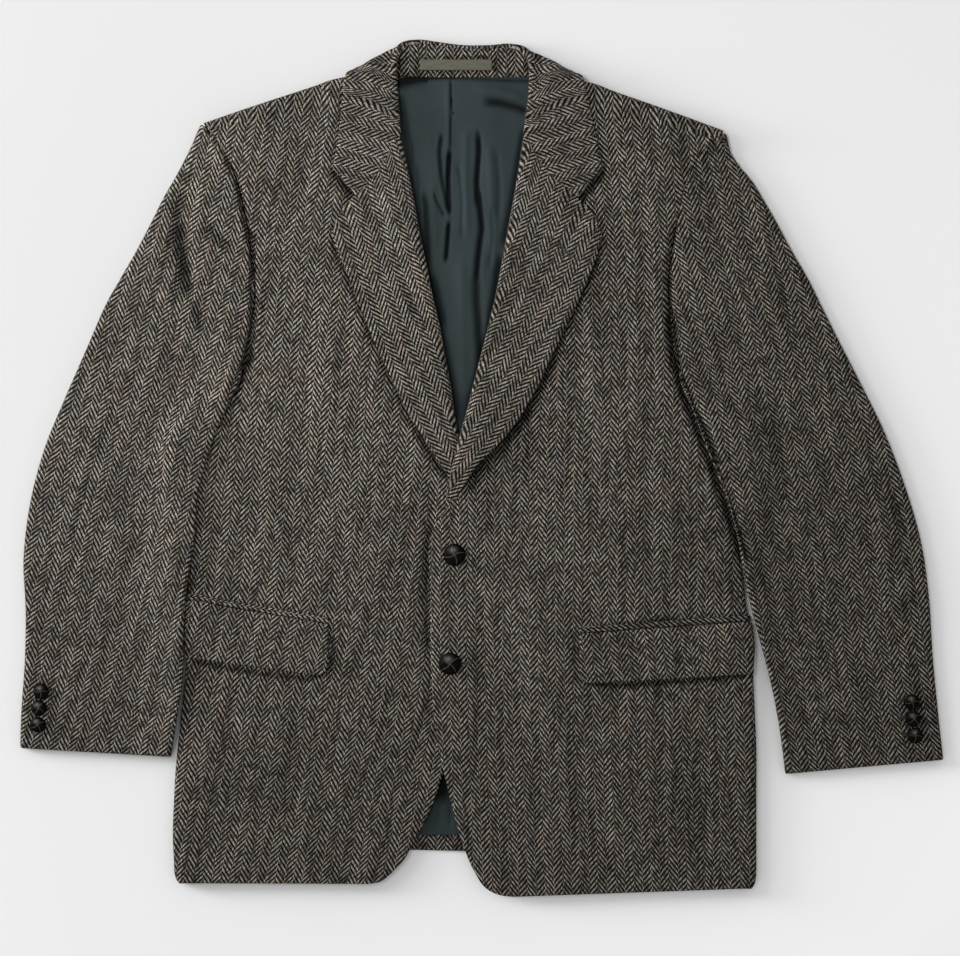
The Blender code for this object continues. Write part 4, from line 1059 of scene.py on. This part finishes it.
def sleeveRows(left):
    sleeve, hand, armhole = ((sleeveLeft, "left", armholeLeft) if left else
                             (sleeveRight, "right", armholeRight))
    cuffStrip, topStrip = sleeves["strip"][hand], sleeves["strip"]["top"]
    tops, unders = [], []
    for number, (innerX, innerY, outerX, outerY, underX, underY, rise) in enumerate(sleeve):
        inner, outer = np.array((innerX, innerY)), np.array((outerX, outerY))
        outward = unit(outer - inner)
        length = math.dist(inner, outer)
        atArmhole = (innerX, innerY) in armhole
        up = number / (len(sleeve) - 1)
        low, high = sleeveLevels(*outer, rise, left)
        high += sleeves["cap"][1] * ramp(up, sleeves["cap"][0], 1)
        strip = min(cuffStrip + (topStrip - cuffStrip) * ramp(up, 0, 0.5), length / 3)
        atElbow = outer - outward * strip
        steps = range(int(length))
        onBody = next((d for d in steps if insideBody(inner + outward * d, left) < -sleeves["clear"]), 0)
        down = min(onBody + sleeves["slope"] - sleeves["clear"], sleeves["shares"][1] * length)
        onBody = min(max(onBody, sleeves["clear"]), sleeves["shares"][0] * length)
        bends = [inner + outward * d for d in (down, (onBody + down) / 2, onBody)]
        if atArmhole:
            level = float(frontMid(*inner, left))
            gap = sleeves["armholeGap"][0] + sleeves["armholeGap"][1] * (1 - ramp(innerY, *sleeves["gapY"]))
            end = inner + outward * gap
            width = min(sleeves["headWidth"], 0.3 * length)
            tail = [(*(end + outward * share * width), level + lift * (1 + sleeves["underarm"][0] * rise))
                    for share, lift in sleeves["headRoll"][hand]]
            tail = [tail[0], tuple((np.array(tail[0]) + tail[1]) / 2), tail[1],
                    tuple((np.array(tail[1]) + tail[2]) / 2), tail[2]]
        else:
            innerLow, innerHigh = sleeveLevels(*inner, rise, left)
            tail = turned(inner, -outward, innerLow, innerHigh, quarter)
        section = []
        for place in [*along([atElbow - outward * 0.05, bends[0]], (0, 0.33, 0.67, 1)), *bends[1:]]:
            level = sleeveLevels(*place, rise, left)[1]
            if atArmhole:
                level = high + (tail[0][2] - high) * ramp(math.dist(place, outer) / length, 0, 1)
                level += sleeves["underarm"][1] * rise
            section.append((*place, level))
        tops.append(section + tail)

        section = [(*atElbow, high), *turned(outer, outward, low, high, (90, 60, 30, 0, -30, -60, -90))]
        first = np.array(section[-1][:2])
        if atArmhole:
            end = np.array((underX, underY)) + outward * 3 * layers["seam"]
            line = along([first, end], (0, 0.15, 0.3, 0.43, 0.56, 0.68, 0.8, 0.9, 0.96, 1))[1:]
            section += [(*place, sleeveLevels(*place, rise, left)[0]) for place in line]
        else:
            line = [*along([first, bends[0]], (0, 0.5, 1))[1:], *bends[1:]]
            section += [(*place, sleeveLevels(*place, rise, left)[0]) for place in line]
            section += turned(inner, -outward, innerLow, innerHigh, [-q for q in quarter])
        unders.append(section)
    return tops, unders


for left in (False, True):
    hand = "left" if left else "right"
    tops, unders = sleeveRows(left)
    sewn(f"topSleeveCloth_{hand}", tops, layers["sleeve"], sleeves["top" + hand.title()], tweed,
         f"top_sleeve_{hand}")
    sewn(f"underSleeveCloth_{hand}", unders, layers["sleeve"], sleeves["under" + hand.title()], tweed,
         f"under_sleeve_{hand}")
print("sleeves made")


# stations from each front end to the centre back: fold x y z, lean, tip, over x y z, edge x y z
fallRight = table("""
    -100 254 12.8   0   0  -110 266 12.8  -121 279 12.7
     -83 269 13.0   0   0   -99 284 13.0  -117 301 12.8
     -69 292 13.8   0   0   -90 306 13.8  -114 324 14.6
     -58 309 15.2   0   0   -83 326 15.4  -112 344 16.8
     -60 328 13.6   0   0   -86 346 17.0  -111 357 16.8
     -61 341 14.4   0   6   -87 359 17.2  -108 367 15.8
     -62 354 14.8   0  20   -86 369 16.2  -103 370  9.5
     -63 374 13.2  15  45   -86 378 11.8   -97 372  3.6
     -62 384 11.0  45  60   -80 384  6.6   -90 370  1.8
     -58 393  8.0  75  45   -72 386  2.8   -78 363  1.6
     -44 398  5.0  90  20   -50 382  1.5   -54 355  1.4
     -24 396  3.8  90   5   -26 375  1.4   -27 351  1.4
       0 393  3.6  90   0     0 372  1.4     0 349  1.4
""")
fallLeft = table("""
     107 252 12.8   0   0   117 265 13.0   129 279 13.0
      86 267 13.0   0   0   104 283 13.2   126 299 13.2
      68 289 13.8   0   0    94 304 13.8   121 321 14.6
      56 306 15.2   0   0    86 323 15.4   117 340 16.8
      59 325 13.6   0   0    88 343 17.0   114 353 16.8
      61 338 14.4   0   6    89 356 17.2   111 364 15.8
      62 351 14.8   0  20    88 366 16.2   105 367  9.5
      63 371 13.2  15  45    87 375 11.8    99 369  3.6
      62 381 11.0  45  60    81 381  6.6    91 367  1.8
      58 389  8.0  75  45    72 383  2.8    79 360  1.6
      46 394  5.0  90  20    50 379  1.5    54 354  1.4
      24 393  3.8  90   5    26 373  1.4    27 351  1.4
""")
# the stand's seam with the neck, x y z
standRight = table("""
     -67 331 11.0
     -73 341 11.9
     -80 351 12.2
     -86 366  9.7
     -79 367  7.1
     -70 367  5.6
     -50 365  4.8
     -25 364  4.6
       0 364  4.6
""")
standLeft = table("""
      66 328 10.9
      72 338 11.8
      78 347 12.1
      86 363  9.7
      79 365  7.1
      70 365  5.6
      50 364  4.8
      25 364  4.6
""")
collars = {
    "roll": 2.2, "frontEnd": 7.0, "standFrom": 4, "standGap": 0.1,
    "fall": {"flat": (0.435, 0.072), "area": 0.0213, "spacing": (2.6, 2.6),
             "anchor": "first", "held": "folded",
             "joined": ("first",),
             "lean": (106, 106, 106, 102, 60, 20, 0, -20, -60, -102, -106, -106, -106),
             "restsOn": ["front_left", "front_right"]},
    "stand": {"flat": (0.26, 0.033), "area": 0.0057, "spacing": (2.6, 1.6),
              "anchor": "first", "held": "folded",
              "joined": ("last",), "creases": strokes("""
        2.6 -3.4 5  -61.5 394  -59.5 380  -57.5 364
        2.8 -4 5  62.5 390  64 378  65.5 362
        1.5 -2.8 2  -42.2 383  -42.2 368
        1.5 -2.8 2  29.6 383  29.6 368
        1.3 -2.4 4  -40 369.4  -8 369  27 368.6
        1.3 -2.4 4  -38 381.8  27 381.8
    """), "restsOn": ["back_left", "back_right"]},
}


def collarTurns(falls):
    folds = np.array([row[:3] for row in falls])
    turns = []
    for row, edge, run in zip(falls, folds, np.gradient(folds, axis=0)):
        inward = -1 if row[0] > 0 else 1
        lean, tip = math.radians(row[3]), math.radians(row[4])
        crest = np.array((inward * math.cos(lean), math.sin(lean), 0)) * math.cos(tip) + (0, 0, math.sin(tip))
        crest = unit(crest - unit(run) * (crest @ unit(run)))
        towardFall = np.cross(crest, unit(run))
        centre = edge - crest * collars["roll"]
        turns.append([centre + collars["roll"] * (math.sin(a) * towardFall + math.cos(a) * crest)
                      for a in np.radians(roll)])
    return turns


def fallRows():
    falls = fallRight + fallLeft[::-1]
    rows = []
    for number, (row, head) in enumerate(zip(falls, collarTurns(falls))):
        over, end = np.array(row[5:8]), row[8:11]
        if min(number, len(falls) - 1 - number) < collars["standFrom"]:
            start = np.array(row[:3])
            head = list(along([start, start + unit(over - start) * collars["frontEnd"]],
                              np.linspace(0, 1, len(roll))))
        rows.append([*head, *along([head[-1], over, end], (0, 0.3, 0.6, 0.82, 1))[1:]])
    return rows


def standRows():
    stands = standRight + standLeft[::-1]
    rows = []
    for row, turn in zip(stands, collarTurns(fallRight + fallLeft[::-1])[collars["standFrom"]:]):
        middle = len(turn) // 2
        crest = unit(turn[middle] - (turn[0] + turn[-1]) / 2)
        rows.append(along([row, turn[0] - crest * collars["standGap"]], (0, 0.35, 0.7, 1)))
    return rows


sewn("collarFall", fallRows(), layers["collar"], collars["fall"], tweed, "collar_fall")
sewn("collarStand", standRows(), layers["stand"], collars["stand"], tweed, "collar_stand")
hanger = {"ends": (-40, 27), "edges": (370.5, 380.5),
          "flat": (0.067, 0.010), "spacing": (1.5, 1.5), "restsOn": ["collar_stand"]}


def hangerRows():
    right, left = hanger["ends"]
    behindNeck = [np.array(row) for row in standRows() if abs(row[0][0]) <= 1.3 * abs(right)]
    rows = []
    for y in hanger["edges"]:
        level = max(float(np.interp(y, row[:, 1], row[:, 2])) for row in behindNeck)
        level += layers["stand"] / 2 + layers["seam"] + layers["hanger"] / 2
        rows.append([(x, y, level) for x in np.linspace(right, left, 6)])
    return rows


sewn("hangerStrip", hangerRows(), layers["hanger"], hanger, tape, "hanger_strip")
print("collar made")


pockets = {
    "right": {"sideY": -123, "front": (-125, -145), "drops": (53, 47)},
    "left": {"sideY": -143, "front": (108.5, -153.5), "drops": (48, 46)},
    "corner": 11.0, "hang": 1.0, "jetWidth": 5.2, "jetGap": 1.2,
    "flapRight": {"flat": (0.14, 0.0535), "area": 0.0071, "spacing": (3.0, 3.0), "lean": (13.5,),
                  "weftLean": (10,), "restsOn": ["front_right"]},
    "flapLeft": {"flat": (0.166, 0.052), "area": 0.0079, "spacing": (3.0, 3.0),
                 "lean": (-7,), "weftLean": (-3.5,), "restsOn": ["front_left"]},
    "jetRight": {"flat": (0.139, 0.01), "area": 0.00072, "spacing": (1.5, 1.5), "lean": (98.5,),
                 "restsOn": ["front_right"]},
    "jetLeft": {"flat": (0.162, 0.01), "area": 0.00084, "spacing": (1.5, 1.5), "lean": (85,),
                "restsOn": ["front_left"]},
}


def pocketLine(hand, shift, standoff, wall, frontEnd, fromEdge=12):
    # a strip's section on the front: round the side fold and then along its surface
    left = hand == "left"
    out = 1 if left else -1
    y = pockets[hand]["sideY"] + shift
    edge = out * outlineX(y, left)
    high = frontMid(edge - out * fronts["inset"], y, left)
    radius = (high - backLevel) / 2
    grow = layers["front"] / 2 + standoff + wall / 2
    turn = [(edge + out * ((radius + grow) * math.cos(a) - radius), y,
             backLevel + radius + (radius + grow) * math.sin(a))
            for a in np.radians(np.linspace(fromEdge, 90, 5))]
    flat = along([turn[-1][:2], frontEnd], (0, 0.25, 0.5, 0.72, 0.88, 1))[1:]
    return turn + [(x, y_, frontMid(x, y_, left) + grow) for x, y_ in flat]


def flapRows(hand):
    out = 1 if hand == "left" else -1
    pocket, corner = pockets[hand], pockets["corner"]
    rows = []
    for share in (0, 0.2, 0.45, 0.72, 0.8, 0.86, 0.91, 0.95, 0.98, 1):
        drop = share * pocket["drops"][1]
        short = corner - (pocket["drops"][1] - drop)
        cut = corner - math.sqrt(corner**2 - short**2) if short > 0 else 0
        end = (pocket["front"][0] + out * min(cut, corner), pocket["front"][1] - drop)
        rows.append(pocketLine(hand, -share * pocket["drops"][0], layers["lying"] + pockets["hang"] * share,
                               layers["flap"], end, 12 + 40 * ramp(share, 0.3, 1)))
    return rows


def jetRows(hand):
    x, y = pockets[hand]["front"]
    rises = (pockets["jetGap"], pockets["jetGap"] + pockets["jetWidth"])
    return [pocketLine(hand, rise, layers["lying"], layers["jet"], (x, y + rise)) for rise in rises]


for hand in ("right", "left"):
    sewn(f"pocketFlap_{hand}", flapRows(hand), layers["flap"], pockets["flap" + hand.title()], tweed,
         f"pocket_flap_{hand}")
    sewn(f"pocketJet_{hand}", jetRows(hand), layers["jet"], pockets["jet" + hand.title()], tweed,
         f"pocket_jet_{hand}")
print("pockets made")


buttons = {
    "front": {"radius": 10.3, "height": 7.5}, "cuff": {"radius": 7.3, "height": 5.5}, "shank": 1.1,
    "places": {
        "front_button_upper": ("front", -8, -80, 38), "front_button_lower": ("front", -12, -181, 60),
        "cuff_button_right_1": ("cuff", -392, -207, 20), "cuff_button_right_2": ("cuff", -394, -222.5, 75),
        "cuff_button_right_3": ("cuff", -395, -238, 50), "cuff_button_left_1": ("cuff", 417, -217, 30),
        "cuff_button_left_2": ("cuff", 418.5, -232.5, 62), "cuff_button_left_3": ("cuff", 420, -248, 12),
    },
    "profile": ((0.62, 0.02), (0.80, 0.06), (0.93, 0.17), (1.0, 0.36), (0.97, 0.52), (0.88, 0.68),
                (0.74, 0.80), (0.56, 0.89), (0.36, 0.95), (0.16, 0.985), (0.0, 1.0)),
    "steps": 72, "seam": 0.055, "lobe": 0.05,
    # how pale the worn seams and lobes are, and the painted highlight on one side
    "wearAndShine": {"seam": 0.42, "paintedShine": 0.72, "lobe": 0.012},  # how pale each part is
}


def leatherButton(name, kind, x, y, turn):
    # a dome of plaited leather: four lobes with raised, worn seams where they cross, and a painted highlight
    # on one side
    size, wearAndShine = buttons[kind], buttons["wearAndShine"]
    left = x > 0 or kind == "front"
    if kind == "front":
        ground = frontMid(x, y, True) + layers["front"] / 2
    else:
        ground = sleeveLevels(x, y, 0, left)[1] + layers["sleeve"] / 2
    bm = bmesh.new()
    points = [bm.verts.new((r * size["radius"], 0, z * size["height"])) for r, z in buttons["profile"]]
    edges = [bm.edges.new(pair) for pair in zip(points, points[1:])]
    bmesh.ops.spin(bm, geom=points + edges, cent=(0, 0, 0), axis=(0, 0, 1), angle=math.tau,
                   steps=buttons["steps"], use_merge=True)
    bmesh.ops.remove_doubles(bm, verts=bm.verts, dist=0.001)
    bmesh.ops.holes_fill(bm, edges=bm.edges, sides=buttons["steps"])
    bmesh.ops.subdivide_edges(bm, edges=bm.edges, cuts=1, use_grid_fill=True)
    bmesh.ops.recalc_face_normals(bm, faces=bm.faces)
    wornAndShine = bm.verts.layers.float.new("wornAndShine")
    radius = size["radius"]
    for vertex in bm.verts:
        px, py, pz = vertex.co / radius
        reach = math.hypot(px, py)
        angle = math.atan2(py, px) + 0.5 * reach  # the seams bend a little as they run out
        across = abs(math.sin(2 * angle)) * max(reach, 0.001) / 2  # distance to the nearest seam
        seam = math.exp(-((across / 0.04) ** 2)) * (1 - ramp(reach, 0.78, 0.96))
        lobe = math.sin(2 * angle) ** 2 * ramp(reach, 0.05, 0.5) * (1 - ramp(reach, 0.8, 1.02))
        vertex.co.z += size["height"] * (buttons["seam"] * seam + buttons["lobe"] * lobe) if pz > 0.1 else 0
        heading = math.atan2(py, px) + math.radians(turn)
        # a painted shine, towards the same side on every button however it is turned
        paintedShine = math.exp(-((reach * math.cos(heading) + 0.14) ** 2 / 0.10
                           + (reach * math.sin(heading) - 0.44) ** 2 / 0.055))
        vertex[wornAndShine] = float(min(1, wearAndShine["seam"] * seam + wearAndShine["paintedShine"] * paintedShine + wearAndShine["lobe"] * lobe))
    putDown(bm, turn, x, y, ground + buttons["shank"])
    piece = finished(name + "Cover", meshOf(bm, name), leather)
    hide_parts(name)


for name, place in buttons["places"].items():
    leatherButton(name, *place)
print("buttons made")


stitches = {
    "side": 1.5, "thick": 0.42, "pitch": 0.62, "slit": 0.5, "bar": (0.3, 0.9), "stray": 9, "above": 0.1,
    "holes": {  # the cloth it lies on, its middle x y, its length and its turn in degrees
        "upper_buttonhole": ("front", -1.5, -79, 17, -6), "lower_buttonhole": ("front", -3, -181, 20, 4),
        "lapel_buttonhole": ("lapel", 95.8, 201.3, 15, -38),
        "cuff_hole_right_1": ("sleeve", -385, -206, 9, 8),
        "cuff_hole_right_2": ("sleeve", -387, -221.5, 9, 8),
        "cuff_hole_right_3": ("sleeve", -388, -237, 9, 8), "cuff_hole_left_1": ("sleeve", 410, -216, 9, -5),
        "cuff_hole_left_2": ("sleeve", 411.5, -231.5, 9, -5),
        "cuff_hole_left_3": ("sleeve", 413, -247, 9, -5),
    },
}


def surfaceAt(cloth, x, y):
    if cloth == "sleeve":
        return sleeveLevels(x, y, 0, x > 0)[1] + layers["sleeve"] / 2
    level = frontMid(x, y, x > 0 or cloth == "front") + layers["front"] / 2
    return level + (layers["ease"] + layers["lapel"] if cloth == "lapel" else 0)


def buttonhole(name, cloth, x, y, length, turn):
    # close stitches of silk on both sides of a slit, and a short bar across its outer end
    bm = bmesh.new()
    level = surfaceAt(cloth, x, y)
    count = round(length / stitches["pitch"])
    draw = np.random.default_rng(len(name) + count)
    reach = stitches["side"] / 2
    places = [((number / (count - 1) - 0.5) * length, side * (reach + stitches["slit"] / 2))
              for number in range(count) for side in (-1, 1)]
    places += [(length / 2 + shift, 0) for shift in stitches["bar"]]
    for ahead, aside in places:
        made = bmesh.ops.create_uvsphere(bm, u_segments=8, v_segments=6, radius=1)["verts"]
        size = (stitches["thick"], reach * draw.uniform(0.9, 1.15), stitches["thick"])
        bmesh.ops.scale(bm, verts=made, vec=size)
        turnedTo(bm, made, draw.uniform(-stitches["stray"], stitches["stray"]))
        bmesh.ops.translate(bm, verts=made, vec=(ahead, aside, 0))
    putDown(bm, turn, x, y, level + stitches["above"])
    mesh = meshOf(bm, name)
    finished(name, mesh, silk)


for name, place in stitches["holes"].items():
    buttonhole(name, *place)
print("stitches made")


studio = {"frame": 892.8, "middle": (15.8, -8.8), "height": 3.0, "atLevel": 0.008,
          "floor": 0.839, "world": 0.70,
          "pool": (-0.329, 0.236), "poolSize": (0.976, 0.927), "poolLight": 1.505,
          "poolFade": 2.70, "palest": 0.93}
camera = bpy.data.objects.new("camera", bpy.data.cameras.new("camera"))
bpy.context.collection.objects.link(camera)
camera.location = (studio["middle"][0] * metre, studio["middle"][1] * metre, studio["height"])
camera.data.sensor_width = 36
camera.data.lens = 36 * (studio["height"] - studio["atLevel"]) / (studio["frame"] * metre)
bpy.context.scene.camera = camera

bm = bmesh.new()
bmesh.ops.create_circle(bm, cap_ends=True, segments=96, radius=8)
mesh = meshOf(bm, "floor")
floorMaterial, start, shader = newMaterial("floor")
split = start.node("SeparateXYZ", {}, {0: start.node("TexCoord", output="Object")})
east = (split.part("X") - studio["pool"][0]) / studio["poolSize"][0]
north = (split.part("Y") - studio["pool"][1]) / studio["poolSize"][1]
# the paper's colour offsets how the lights fall off, so that it looks even from above
pool = start.sum("POWER", 1 + east * east + north * north, studio["poolFade"])
lit = studio["world"] + studio["poolLight"] / pool
paper = start.sum("MINIMUM", studio["floor"] / lit, studio["palest"])
tone = start.placed(paper, paper, paper)
dressed(start, shader, {"Base Color": tone}, {"Roughness": 0.9, "Specular IOR Level": 0.0})
mesh.materials.append(floorMaterial)
floor = bpy.data.objects.new("floor", mesh)
floor.location = (0, 0, -0.0006)
bpy.context.collection.objects.link(floor)


def softbox(name, place, size, power, target, spread):
    light = bpy.data.objects.new(name, bpy.data.lights.new(name, "AREA"))
    light.data.shape, light.data.size = "DISK", size
    light.data.energy, light.data.spread = power, math.radians(spread)
    light.location = place
    light.rotation_euler = (Vector(target) - Vector(place)).to_track_quat("-Z", "Y").to_euler()
    bpy.context.collection.objects.link(light)


softbox("key", (-2.0, 0.3, 0.42), 0.7, 13.2, (0, 0, 0), spread=100)
softbox("side", (-1.7, 0.7, 0.95), 1.1, 3.25, (-0.45, 0.2, 0), spread=60)
softbox("above", (-0.7, 0.4, 2.2), 0.8, 1.8, (-0.2, 0.25, 0), spread=30)
world = bpy.data.worlds.new("studio")
world.use_nodes = True
world.node_tree.nodes["Background"].inputs[0].default_value = (1, 1, 1, 1)
world.node_tree.nodes["Background"].inputs[1].default_value = studio["world"]
bpy.context.scene.world = world
bpy.context.scene.view_settings.view_transform = "Standard"
print("stage made")
